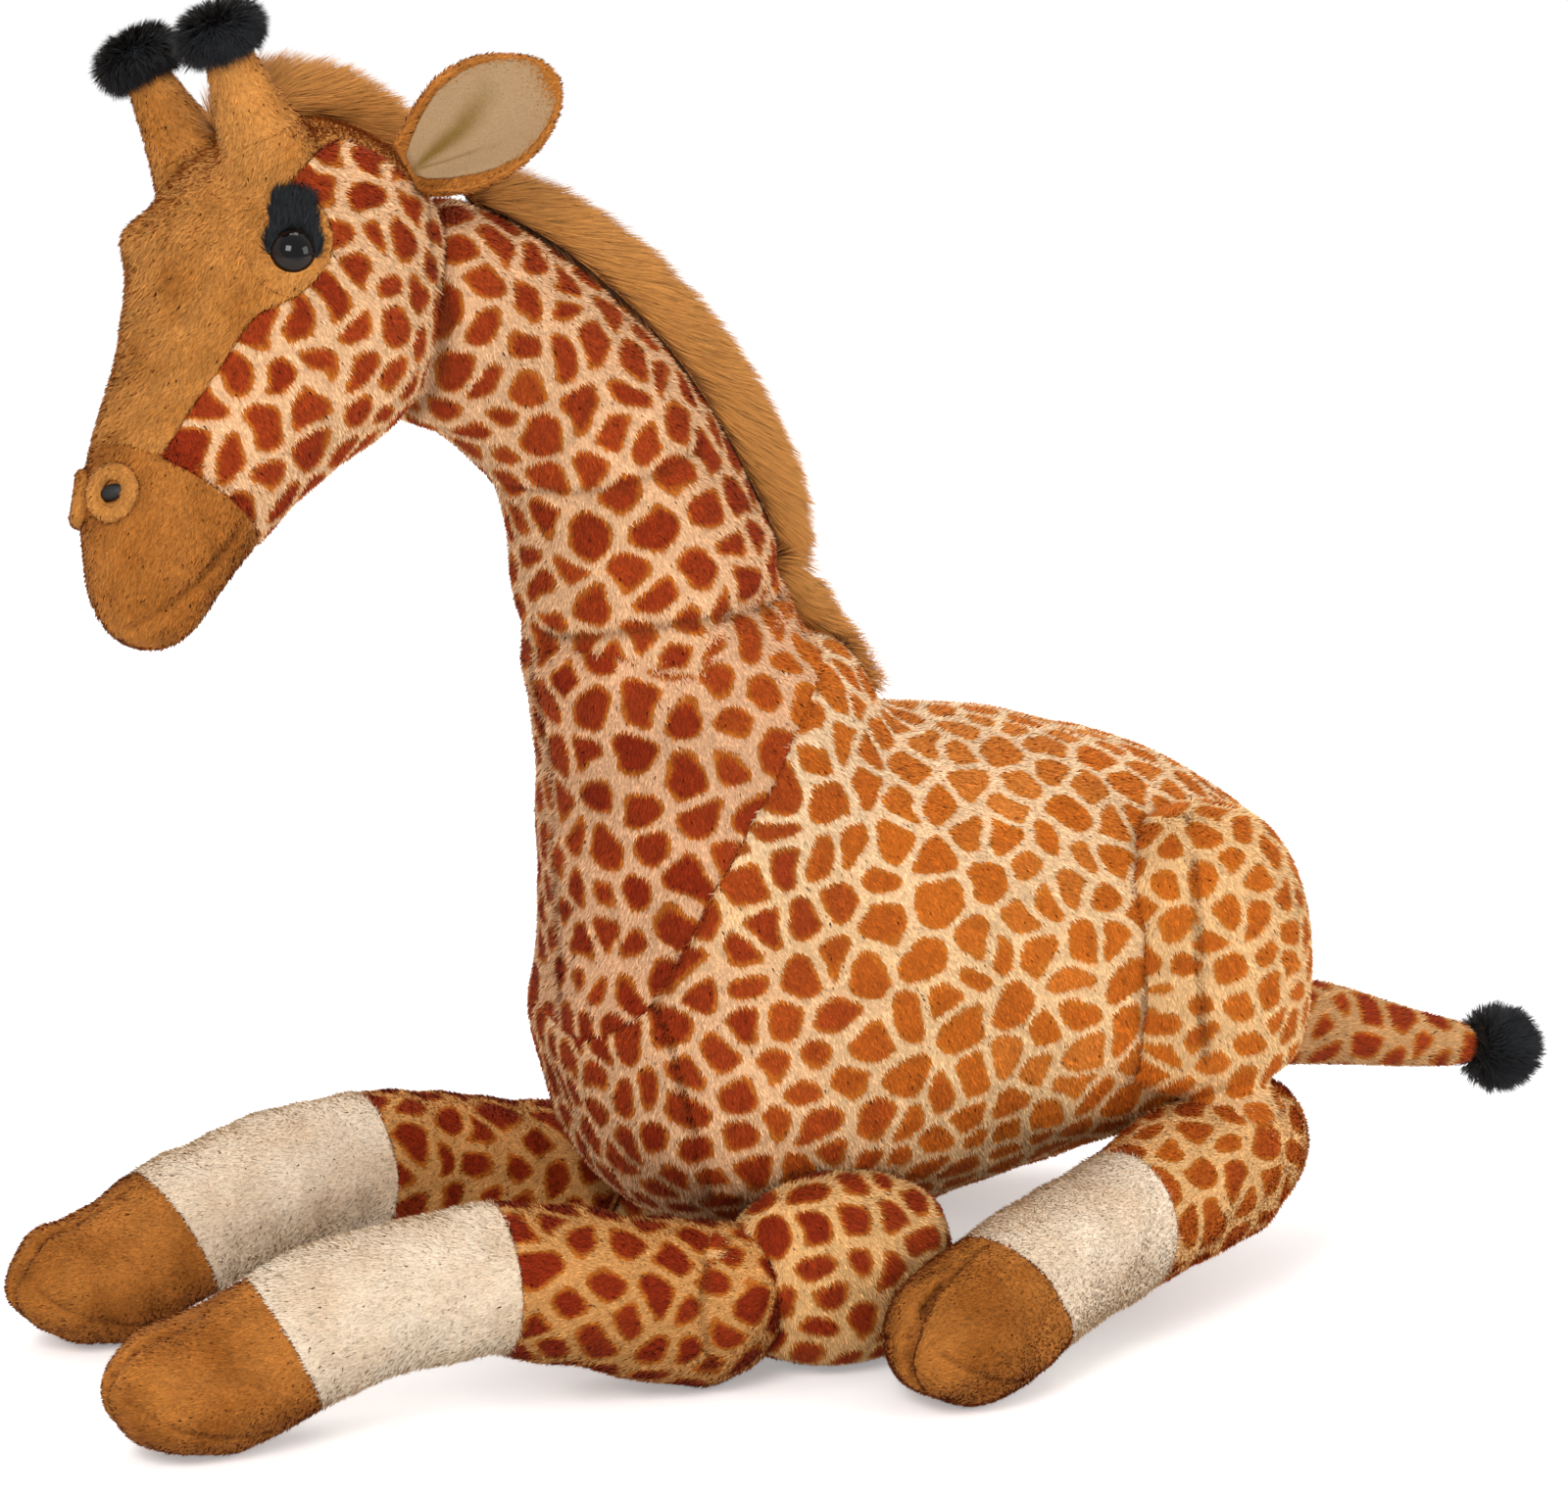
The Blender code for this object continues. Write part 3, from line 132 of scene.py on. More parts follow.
SHOULDER_SEAM = [(-0.0284, -0.0520, 0.3066), (-0.0350, -0.0582, 0.3043), (-0.0541, -0.0734, 0.2809),
                 (-0.0726, -0.0790, 0.2531), (-0.0901, -0.0758, 0.2234), (-0.1016, -0.0695, 0.1957),
                 (-0.1163, -0.0640, 0.1693)]
FRONT_SEAM = [(-0.1450, 0.0, 0.3130), (-0.1450, 0.0, 0.2970), (-0.1440, 0.0, 0.2750), (-0.1416, 0.0, 0.2450),
              (-0.1380, 0.0, 0.2050), (-0.1370, 0.0, 0.1750), (-0.1345, 0.0, 0.1500)]
HEAD_GROOVE = [(-0.2006, -0.0196, 0.5328), (-0.2051, -0.0379, 0.5213), (-0.2067, -0.0451, 0.5078),
               (-0.2019, -0.0412, 0.4920), (-0.2007, -0.0456, 0.4779), (-0.2031, -0.0443, 0.4630),
               (-0.2048, -0.0362, 0.4467), (-0.2073, -0.0272, 0.4388), (-0.2090, -0.0134, 0.4320)]
MUZZLE_SEAM = [(-0.3372, -0.0748, 0.4402), (-0.3294, -0.0791, 0.4370), (-0.3199, -0.0821, 0.4310),
               (-0.3105, -0.0825, 0.4206), (-0.3036, -0.0791, 0.4089), (-0.2930, -0.0600, 0.3934)]
# The seam between the lower neck and the body, seen from the side, as (x, z)
SHOULDER_EDGE = [(0.0700, 0.4200), (0.0100, 0.3400), (-0.0200, 0.3150), (-0.0350, 0.3043), (-0.0541, 0.2809),
                 (-0.0726, 0.2531), (-0.0901, 0.2234), (-0.1016, 0.1957), (-0.1160, 0.1685),
                 (-0.1273, 0.1540), (-0.1350, 0.1420), (-0.2000, 0.1000), (-0.3000, 0.1000),
                 (-0.3000, 0.6000), (0.0700, 0.6000)]

# The line of the back that carries the mane, as (x, z), from between the horns to the shoulders
MANE_PATH = [(-0.2880, 0.5530), (-0.2640, 0.5600), (-0.2390, 0.5530), (-0.2120, 0.5380), (-0.1910, 0.5270),
             (-0.1700, 0.5196), (-0.1380, 0.5010), (-0.1090, 0.4780), (-0.0667, 0.4274), (-0.0388, 0.3761),
             (-0.0244, 0.3376), (-0.0119, 0.3239), (0.0060, 0.3034), (0.0253, 0.2760)]


def linear(code):
    """An sRGB hex colour as linear RGBA."""
    parts = [int(code[step:step + 2], 16) / 255.0 for step in (0, 2, 4)]
    straight = [part / 12.92 if part <= 0.04045 else ((part + 0.055) / 1.055) ** 2.4 for part in parts]
    return (*straight, 1.0)


def node(tree, kind, inputs=None, **settings):
    """Adds one node with its settings, and sets or links its inputs."""
    made = tree.nodes.new("ShaderNode" + kind)
    for name, value in settings.items():
        setattr(made, name, value)
    for name, value in (inputs or {}).items():
        if isinstance(value, bpy.types.NodeSocket):
            tree.links.new(value, made.inputs[name])
        else:
            made.inputs[name].default_value = value
    return made


def ramp(tree, factor, stops):
    """A colour ramp, with its stops as place and colour."""
    made = node(tree, "ValToRGB", {"Fac": factor})
    bar = made.color_ramp
    while len(bar.elements) < len(stops):
        bar.elements.new(0.5)
    for stop, (place, colour) in zip(bar.elements, stops):
        stop.position = place
        stop.color = colour
    return made.outputs["Color"]


def new_material(name, roughness, sheen=0.0, sheen_tint="FFFFFF", specular=0.5):
    """A Principled material, and its tree and shader."""
    made = bpy.data.materials.new(name)
    made.use_nodes = True
    shader = made.node_tree.nodes["Principled BSDF"]
    shader.inputs["Roughness"].default_value = roughness
    shader.inputs["Sheen Weight"].default_value = sheen
    shader.inputs["Sheen Roughness"].default_value = 0.35
    shader.inputs["Sheen Tint"].default_value = linear(sheen_tint)
    shader.inputs["Specular IOR Level"].default_value = specular
    return made, made.node_tree, shader


def fact(tree, name, output="Fac"):
    """A number or a place that the points of a piece carry."""
    return node(tree, "Attribute", attribute_name=name).outputs[output]


def worked(tree, operation, first, second=0.0, third=0.0):
    """A sum in a material."""
    return node(tree, "Math", {0: first, 1: second, 2: third}, operation=operation).outputs["Value"]


def spread(tree, value, low, high, start=0.0, end=1.0):
    """A number moved from one range to another."""
    return node(tree, "MapRange", {0: value, 1: start, 2: end, 3: low, 4: high}).outputs["Result"]


def noise(tree, place, size, detail=2.0):
    """A noise whose clouds are about this big."""
    return node(tree, "TexNoise", {"Vector": place, "Scale": 1.0 / size, "Detail": detail}).outputs["Fac"]


def blended(tree, factor, first, second):
    """Two colours mixed."""
    made = node(tree, "Mix", data_type="RGBA")
    for index, value in ((0, factor), (6, first), (7, second)):
        if isinstance(value, bpy.types.NodeSocket):
            tree.links.new(value, made.inputs[index])
        else:
            made.inputs[index].default_value = value
    return made.outputs[2]


def shaded(tree, colour, shade):
    """A colour times a number."""
    return node(tree, "VectorMath", {0: colour, "Scale": shade}, operation="SCALE").outputs["Vector"]


def napped(tree, colour, place, root_shade, tip_shade, mottle, glint):
    """Pile colour: painted shade down among the roots, paler at the tips, with painted nap sheen in streaks
    where it is brushed.

    A few fibres are painted much lighter, as glints. In a sewn seam the pile parts, and its roots show as a
    dark joint; in folds, creases and the hoof's cleft the same darkening is painted shade.
    """
    # Painted shade among the roots: each fibre is darker at its root and paler at its tip
    depth = spread(tree, fact(tree, "tip"), root_shade, tip_shade)
    # Painted nap sheen: lighter and darker streaks about 13 mm across, where the nap is brushed
    brushed = spread(tree, noise(tree, place, 13.0 * MM, 3.0), 1.0 - mottle, 1.0 + mottle, 0.3, 0.7)
    # Painted glints: most fibres a little darker, a few much lighter, each by its own random number
    spark = worked(tree, "POWER", fact(tree, "single"), 3.0)
    painted_glints = spread(tree, spark, 1.0 - glint, 1.0 + 2.4 * glint)
    # Darkening along lines: painted shade in folds, creases and the hoof's cleft, dark joints in sewn seams
    seam_and_fold_shade = worked(tree, "MULTIPLY", fact(tree, "seam"), 0.7)
    shade = worked(tree, "MULTIPLY", worked(tree, "MULTIPLY", depth, brushed), painted_glints)
    return shaded(tree, blended(tree, seam_and_fold_shade, colour, linear("6E3510")), shade)


def printed_plush(name):
    """Short polyester plush, piece-printed: rust patches with a golden edge on a peach ground.

    The print bleeds a little into the pile, so each patch has a soft, uneven golden rim. The points
    carry how far inside their patch they lie, in millimetres, how light its dye took, and how golden
    the ground is there. On the body these two also carry painted light: the rust darker low down and
    lighter high up, and the ground paler on the back, as painted shade and sheen. Broad clouds of
    painted sheen lie over it all.
    """
    made, tree, shader = new_material(name, 0.8, sheen=0.04, sheen_tint="FFD9B0", specular=0.12)
    place = fact(tree, "root", "Vector")
    ragged = worked(tree, "MULTIPLY_ADD", noise(tree, place, 2.4 * MM, 1.0), 1.4, -0.7)
    inside = worked(tree, "MULTIPLY_ADD", worked(tree, "ADD", fact(tree, "inside"), ragged), 0.1, 0.3)
    rust = ramp(tree, fact(tree, "dye"), [(0.0, linear("8C2808")), (0.25, linear("A23C12")),
                                          (0.75, linear("CA6A1C")), (1.0, linear("DA8436"))])
    base = ramp(tree, fact(tree, "warmth"), [(0.0, linear("F6D2A8")), (0.12, linear("F1C793")),
                                             (0.25, linear("E2B086")), (0.42, linear("EDBF86")),
                                             (0.60, linear("ECBA7A")), (0.80, linear("CF9C66")),
                                             (1.0, linear("D79A55"))])
    # Painted sheen: broad clouds that make the print up to 6 % lighter or darker
    clouds = spread(tree, noise(tree, place, 60.0 * MM, 1.0), 0.94, 1.06, 0.35, 0.65)
    print_mask = ramp(tree, inside, [(0.27, (0.0, 0.0, 0.0, 1.0)), (0.33, (1.0, 1.0, 1.0, 1.0))])
    core_mask = ramp(tree, inside, [(0.38, (0.0, 0.0, 0.0, 1.0)), (0.52, (1.0, 1.0, 1.0, 1.0))])
    rim = blended(tree, 0.65, rust, linear("CC7C24"))
    patch = blended(tree, core_mask, rim, rust)
    colour = shaded(tree, blended(tree, print_mask, base, patch), clouds)
    tree.links.new(napped(tree, colour, place, 0.80, 1.10, 0.07, 0.17), shader.inputs["Base Color"])
    return made


def plain_plush(name, colour, worn, mottle=0.10, glint=0.13, sheen=0.06):
    """Short polyester plush of one dye, with painted nap shade: broad streaks turn its colour a little
    darker.
    """
    made, tree, shader = new_material(name, 0.8, sheen=sheen, sheen_tint="FFD9B0", specular=0.15)
    place = fact(tree, "root", "Vector")
    # Painted nap shade: broad streaks about 34 mm across darken towards the second colour
    tone = ramp(tree, noise(tree, place, 34.0 * MM, 3.0), [(0.36, linear(worn)), (0.62, linear(colour))])
    tree.links.new(napped(tree, tone, place, 0.82, 1.10, mottle, glint), shader.inputs["Base Color"])
    return made


def lining_plush(name, colour, stroked):
    """Smooth peach lining, with olive painted shade where its nap is folded along the middle of the ear."""
    made, tree, shader = new_material(name, 0.85, sheen=0.05, sheen_tint="FFD9B0", specular=0.15)
    place = fact(tree, "root", "Vector")
    # Painted shade of the fold, with a little noise at its edge
    soft = worked(tree, "MULTIPLY_ADD", noise(tree, place, 6.0 * MM, 3.0), 0.2, fact(tree, "stroke"))
    tone = ramp(tree, soft, [(0.15, linear(colour)), (1.05, linear(stroked))])
    grain = spread(tree, noise(tree, place, 0.7 * MM, 1.0), 0.88, 1.10, 0.3, 0.7)
    tree.links.new(shaded(tree, tone, grain), shader.inputs["Base Color"])
    return made


def long_fur(name, root_colour, tip_colour, streak, sheen, specular=0.35):
    """Long fibre pile: painted shade between the roots, with each lock a little different."""
    made, tree, shader = new_material(name, 0.6, sheen=sheen, sheen_tint="FFE2C4", specular=specular)
    place = fact(tree, "root", "Vector")
    # Painted shade: the lower half of each fibre darkens towards the root colour
    tone = ramp(tree, fact(tree, "tip"), [(0.0, linear(root_colour)), (0.5, linear(tip_colour))])
    part = worked(tree, "MULTIPLY_ADD", noise(tree, place, 7.0 * MM), 0.6,
                  worked(tree, "MULTIPLY", fact(tree, "single"), 0.4))
    shade = spread(tree, part, 1.0 - streak, 1.0 + streak, 0.25, 0.75)
    tree.links.new(shaded(tree, tone, shade), shader.inputs["Base Color"])
    return made


def eye_plastic(name):
    """Polished safety eye: a black pupil in a very dark brown ring, under one smooth dome."""
    made, tree, shader = new_material(name, 0.04, specular=0.25)
    tone = ramp(tree, fact(tree, "ring"), [(0.60, linear("060505")), (0.68, linear("1E130D")),
                                           (0.92, linear("17100C")), (0.97, linear("050404"))])
    tree.links.new(tone, shader.inputs["Base Color"])
    return made


def moulded(name, colour, roughness, scratch=0.02):
    """Moulded plastic, with a faint unevenness in its polish."""
    made, tree, shader = new_material(name, roughness)
    place = node(tree, "TexCoord").outputs["Object"]
    haze = spread(tree, noise(tree, place, 5.0 * MM, 3.0), roughness - scratch, roughness + scratch)
    tree.links.new(haze, shader.inputs["Roughness"])
    shader.inputs["Base Color"].default_value = linear(colour)
    return made


PRINT = printed_plush("printed plush")
# Second colours: painted nap shade of plain plush, painted fold shade of the lining; the furs' first colour
# is painted root shade
TAN = plain_plush("tan plush", "CC8B44", "B2702D", 0.13)
DEEP_TAN = plain_plush("deep tan plush", "B97430", "9C5A1C", 0.12)
CREAM = plain_plush("cream plush", "F0DEC6", "E4CCAE", 0.04, 0.06)
LINING = lining_plush("peach ear lining", "9A7D5B", "735727")
MANE = long_fur("combed mane pile", "6E3812", "C68741", 0.22, 0.08, 0.2)
BLACK_FUR = long_fur("black fur", "030304", "15171B", 0.35, 0.05, 0.25)
EYE_GLOSS = eye_plastic("polished black eye plastic")
NOSTRIL_PLASTIC = moulded("matt black nostril plastic", "0B0A0A", 0.6)
WASHER = moulded("moulded white washer", "D8D6CE", 0.42)


def placed(name, data):
    """A new object in the scene from its mesh, light or camera."""
    made = bpy.data.objects.new(name, data)
    bpy.context.scene.collection.objects.link(made)
    return made


def only(piece):
    """Selects one piece alone and makes it active."""
    bpy.ops.object.select_all(action="DESELECT")
    piece.hide_set(False)
    piece.select_set(True)
    bpy.context.view_layer.objects.active = piece


def edited(piece, *steps):
    """Runs mesh operators, each with its settings, on the whole of a piece."""
    only(piece)
    bpy.ops.object.mode_set(mode="EDIT")
    bpy.ops.mesh.select_all(action="SELECT")
    for step, settings in steps:
        step(**settings)
    bpy.ops.object.mode_set(mode="OBJECT")


def applied(piece, kind, **settings):
    """Adds a modifier, sets it and applies it."""
    only(piece)
    step = piece.modifiers.new(kind.lower(), kind)
    for name, value in settings.items():
        setattr(step, name, value)
    bpy.ops.object.modifier_apply(modifier=step.name)


def points_of(mesh, field):
    """A vector of each point of a mesh, as an array."""
    values = np.empty(len(mesh.vertices) * 3)
    mesh.vertices.foreach_get(field, values)
    return values.reshape(-1, 3)


def places(piece):
    """The points of a piece."""
    return points_of(piece.data, "co")


def normals(piece):
    """The normals at the points of a piece."""
    return points_of(piece.data, "normal")


def move_to(piece, spots):
    """Puts the points of a piece where an array says, and none of them under the floor."""
    spots[:, 2] = np.maximum(spots[:, 2], FLOOR_LIFT)
    piece.data.vertices.foreach_set("co", spots.ravel())
    piece.data.update()


def joined(pieces, name):
    """One piece out of several."""
    only(pieces[0])
    for piece in pieces:
        piece.select_set(True)
    if len(pieces) > 1:
        bpy.ops.object.join()
    whole = bpy.context.object
    whole.name = name
    whole.data.name = name
    whole.data.materials.clear()
    return whole


def from_points(name, corners, faces):
    """A new piece from its points and faces."""
    mesh = bpy.data.meshes.new(name)
    mesh.from_pydata([tuple(corner) for corner in corners], [], faces)
    piece = placed(name, mesh)
    edited(piece, (bpy.ops.mesh.remove_doubles, {"threshold": MERGE}),
           (bpy.ops.mesh.normals_make_consistent, {"inside": False}))
    bpy.ops.object.shade_smooth()
    return piece


def filling_ball(centre, radius):
    """A ball that fills a hollow before a cover is drawn over it."""
    bpy.ops.object.select_all(action="DESELECT")
    bpy.ops.mesh.primitive_uv_sphere_add(segments=48, ring_count=24, radius=radius, location=centre)
    bpy.ops.object.transform_apply(location=True)
    return bpy.context.object


def stuffed(name, nodes, cell, passes, swell=0.0, fillers=(), finer=1):
    """A stuffed cover over CAD solids: one skin drawn over all of them, relaxed until it is round."""
    copies = [placed(name + "_part", frame["nodes"][label].data.copy()) for label in nodes]
    cover = joined(copies + [filling_ball(centre, radius) for centre, radius in fillers], name)
    edited(cover, (bpy.ops.mesh.remove_doubles, {"threshold": MERGE}))
    applied(cover, "REMESH", mode="VOXEL", voxel_size=cell)
    applied(cover, "SMOOTH", factor=0.5, iterations=passes)
    if finer:
        applied(cover, "SUBSURF", levels=finer, render_levels=finer)
    move_to(cover, places(cover) + normals(cover) * swell)
    bpy.ops.object.shade_smooth()
    return cover


def parted(cover, name, cuts):
    """A panel of a cover: a copy cut by planes, each a point and the way of what is cut off."""
    panel = placed(name, cover.data.copy())
    panel.data.name = name
    for point, way in cuts:
        cut = {"plane_co": point, "plane_no": way, "use_fill": True, "clear_outer": True}
        edited(panel, (bpy.ops.mesh.bisect, cut))
    return panel


def line_gap(spots, line):
    """How far points are from a line of straight lengths."""
    nearest = np.full(len(spots), np.inf)
    for start, end in zip(line, line[1:]):
        first = np.array(start)
        span = np.array(end) - first
        along = np.clip(((spots - first) @ span) / (span @ span), 0.0, 1.0)
        nearest = np.minimum(nearest, np.linalg.norm(spots - (first + along[:, None] * span), axis=1))
    return nearest


def plane_gap(panel, point, way):
    """How far each point of a panel is from a seam's plane."""
    return np.abs((places(panel) - np.array(point)) @ np.array(Vector(way).normalized()))


def tucked(panel, gaps, width, depth):
    """Turns the edge of a panel in towards its seam, so that the seam lies in a furrow."""
    share = np.clip(1.0 - gaps / width, 0.0, 1.0) ** 2
    move_to(panel, places(panel) - normals(panel) * (share * depth)[:, None])


DARK_SEAMS_AND_FOLD_SHADE = {}


def creased(cover, line, width, depth, dark=0.7):
    """Presses a fold or a sewn line into a cover, along points that lie close to it."""
    tree = tree_of(cover)
    on_skin = snapped(cover, line)
    gap = line_gap(places(cover), on_skin)
    share = np.exp(-(gap / width) ** 2)
    move_to(cover, places(cover) - normals(cover) * (share * depth)[:, None])
    # A darkened line is kept: painted shade where it is a fold or crease, a dark joint where it is a seam
    if dark:
        sunk = [spot - tree.find_nearest(spot)[1] * depth for spot in on_skin]
        DARK_SEAMS_AND_FOLD_SHADE.setdefault(cover.name, []).append((sunk, width, dark))


def mirrored(line):
    """The same line on the giraffe's other side."""
    return [(x, -y, z) for x, y, z in line]


def on_side(line, side):
    """A line of the left side, brought to the side it is wanted on."""
    return line if side == "left" else mirrored(line)


def creased_twice(cover, line, width, depth, dark):
    """Presses the same line into both sides of a cover."""
    creased(cover, line, width, depth, dark)
    creased(cover, mirrored(line), width, depth, dark)


def puffed(cover, centre, radius, height):
    """Raises or hollows a soft place of a cover."""
    gap = np.linalg.norm(places(cover) - np.array(centre), axis=1)
    share = np.exp(-(gap / radius) ** 2)
    move_to(cover, places(cover) + normals(cover) * (share * height)[:, None])


def squeezed(cover, middle, way, along, around):
    """Scales a cover along a line and around it."""
    spots = places(cover) - np.array(middle)
    rise = (spots @ np.array(way))[:, None] * np.array(way)
    move_to(cover, np.array(middle) + rise * along + (spots - rise) * around)


def waver(spots, across, seed):
    """A smooth wandering of places, made of a few waves."""
    rng = np.random.default_rng(seed)
    moved = np.zeros_like(spots)
    for _ in range(9):
        way = rng.normal(size=3)
        wave = np.sin(spots @ (way / np.linalg.norm(way)) * math.tau / (across * rng.uniform(0.6, 1.6))
                      + rng.uniform(0.0, math.tau))
        moved += wave[:, None] * rng.normal(size=3) / 3.0
    return moved


def rumpled(cover, height, across, seed):
    """Gives a stuffed cover the soft dents that its filling leaves."""
    spots = places(cover)
    dents = waver(spots, across, seed)[:, 0] * height
    move_to(cover, spots + normals(cover) * dents[:, None])


def note(mesh, label, values):
    """Stores a number, or a place, on each point of a mesh."""
    kind, field = ("FLOAT_VECTOR", "vector") if values.ndim == 2 else ("FLOAT", "value")
    layer = mesh.attributes.new(label, kind, "POINT")
    layer.data.foreach_set(field, values.astype(np.float32).ravel())


def triangle_corners(piece):
    """Which points each triangle of a piece joins."""
    mesh = piece.data
    mesh.calc_loop_triangles()
    index = np.empty(len(mesh.loop_triangles) * 3, np.int64)
    mesh.loop_triangles.foreach_get("vertices", index)
    return index.reshape(-1, 3)


def triangles(piece):
    """Corner places, corner normals and areas of the triangles of a piece."""
    index = triangle_corners(piece)
    corners = places(piece)[index]
    crossed = np.cross(corners[:, 1] - corners[:, 0], corners[:, 2] - corners[:, 0])
    return corners, normals(piece)[index], np.linalg.norm(crossed, axis=1) / 2.0


PATCHES = {}


def dye_and_shade_of(spots):
    """How light the rust is: the dye deep on the head, neck and chest and golden on the flank and back; on
    the body also painted shade, darker low down, and painted sheen, lighter high up.
    """
    along = np.interp(spots[:, 0], [-0.10, -0.03, 0.05, 0.20], [0.10, 0.50, 0.78, 0.72])
    # On the body the rust is painted darker low down and lighter high up: painted shade and sheen
    return along + np.interp(spots[:, 2], [0.05, 0.12, 0.20, 0.27], [-0.20, 0.0, 0.02, 0.15]) * (
        spots[:, 0] > -0.05)


def ground_and_sheen_of(spots):
    """Which run of the ground colour a place shows: peach on flank and chest, pale on the back as painted
    sheen.
    """
    along = np.interp(spots[:, 0], [-0.10, 0.0], [0.22, 0.12])
    # Painted sheen: above about 0.18 m the ground turns pale towards the back
    return along * np.interp(spots[:, 2], [0.18, 0.26], [1.0, 0.1])


def lay_out_patches(cover, spacing, seed, dye):
    """Strews the middles of the printed patches over a cover, apart from each other, with their weights."""
    rng = np.random.default_rng(seed)
    corners, _, areas = triangles(cover)
    chosen = rng.choice(len(areas), PATCH_TRIES, p=areas / areas.sum())
    kept = np.empty((0, 3))
    for middle in corners[chosen].mean(axis=1):
        near = spacing * rng.uniform(0.74, 0.98)
        if not len(kept) or np.linalg.norm(kept - middle, axis=1).min() > near:
            kept = np.vstack([kept, middle])
    weights = rng.uniform(0.0, (0.34 * spacing) ** 2, len(kept))
    tone = dye_and_shade_of(kept) if dye is None else np.full(len(kept), dye)
    tone = tone + rng.uniform(-0.12, 0.12, len(kept))
    PATCHES[cover.name] = (kept, weights, tone, spacing)


def printed(spots, cover):
    """How far inside its patch each place lies, in millimetres, and its patch's dye."""
    middles, weights, dyes, spacing = PATCHES[cover.name]
    bent = spots + waver(spots, 26.0 * MM, 5) * 0.11 * spacing + waver(spots, 9.0 * MM, 6) * 0.03 * spacing
    spans = np.linalg.norm(middles[:, None] - middles[None], axis=2) + np.eye(len(middles))
    inside = np.empty(len(spots))
    dye = np.empty(len(spots))
    soft = 0.075 * spacing
    for start in range(0, len(spots), PRINT_BATCH):
        batch = slice(start, start + PRINT_BATCH)
        some = bent[batch]
        power = ((some ** 2).sum(axis=1)[:, None] + (middles ** 2).sum(axis=1)[None]
                 - 2.0 * some @ middles.T - weights[None])
        nearest = power.argmin(axis=1)
        rows = np.arange(len(some))
        gaps = (power - power[rows, nearest][:, None]) / (2.0 * spans[nearest])
        gaps[rows, nearest] = np.inf
        inside[batch] = -soft * np.log(np.exp(-gaps / soft).sum(axis=1))
        dye[batch] = dyes[nearest]
    return inside / MM - 0.105 * spacing / MM, dye


def seam_and_fold_shade_of(spots, cover):
    """How dark each place is made, from 0 to 1: painted shade in folds and creases, dark joints in seams."""
    share = np.zeros(len(spots))
    for line, width, dark in DARK_SEAMS_AND_FOLD_SHADE.get(cover.name, []):
        share = np.maximum(share, dark * np.exp(-(line_gap(spots, line) / (0.7 * width)) ** 2))
    return share


FACTS = {}


def facts_of(cover):
    """What the materials of a cover and its pile read, at each point of the cover."""
    if cover.name not in FACTS:
        spots = places(cover)
        FACTS[cover.name] = {"seam": seam_and_fold_shade_of(spots, cover)}
        if cover.name in PATCHES:
            FACTS[cover.name]["inside"], FACTS[cover.name]["dye"] = printed(spots, cover)
    return FACTS[cover.name]


COVERS = []
WORN = {}


def dressed(piece, body, material, replaced=()):
    """Gives a piece its material, sets it on its body, and hides the solids it stands for."""
    spots = places(piece)
    note(piece.data, "root", spots)
    for label, values in facts_of(piece).items():
        note(piece.data, label, values)
    # Covers take the painted root shade of halfway up the pile
    note(piece.data, "tip", np.full(len(spots), 0.5))
    note(piece.data, "single", np.full(len(spots), 0.5))
    piece.data.materials.clear()
    piece.data.materials.append(material)
    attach(piece, body)
    WORN[piece.name] = (body, material)
    if replaced:
        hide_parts(*replaced)
    return piece


def finished(piece, body, material, replaced, spacing=19.5 * MM, dye=None, warmth=0.15):
    """Dresses a stuffed cover, with its print where it has one."""
    if material is PRINT:
        lay_out_patches(piece, spacing, 100 + len(COVERS), dye)
        facts_of(piece)["warmth"] = ground_and_sheen_of(places(piece)) if warmth is None else np.full(
            len(piece.data.vertices), warmth)
    dressed(piece, body, material, replaced)
    COVERS.append(piece)
    return piece


TREES = {}
BARE_BALLS = [(middle, EYE_RADIUS + 0.8 * MM) for middle, _ in EYES.values()]
BARE_BALLS += [(middle, 6.5 * MM) for middle, _ in NOSTRILS.values()]


def tree_of(cover):
    """The faces of a cover, to cast rays on."""
    return BVHTree.FromPolygons(places(cover).tolist(), triangle_corners(cover).tolist())


def buried(piece, depth=2.2 * MM):
    """Which triangles of a cover lie inside its neighbours or under an eye, where no pile shows."""
    spots = places(piece)
    ways = normals(piece)
    hidden = np.zeros(len(spots), bool)
    for centre, radius in BARE_BALLS:
        hidden |= np.linalg.norm(spots - np.array(centre), axis=1) < radius
    for other in COVERS:
        if other is piece:
            continue
        span = places(other)
        near = np.nonzero(((spots > span.min(axis=0)) & (spots < span.max(axis=0))).all(axis=1) & ~hidden)[0]
        if len(near) and other.name not in TREES:
            TREES[other.name] = tree_of(other)
        for index in near:
            way = Vector(ways[index])
            _, facing, _, gap = TREES[other.name].ray_cast(Vector(spots[index]), way)
            if gap is not None and gap > depth and facing.dot(way) > 0.0:
                hidden[index] = True
    return hidden[triangle_corners(piece)].all(axis=1)


def unit(ways):
    """Vectors brought to length one."""
    return ways / np.maximum(np.linalg.norm(ways, axis=-1, keepdims=True), 1e-9)


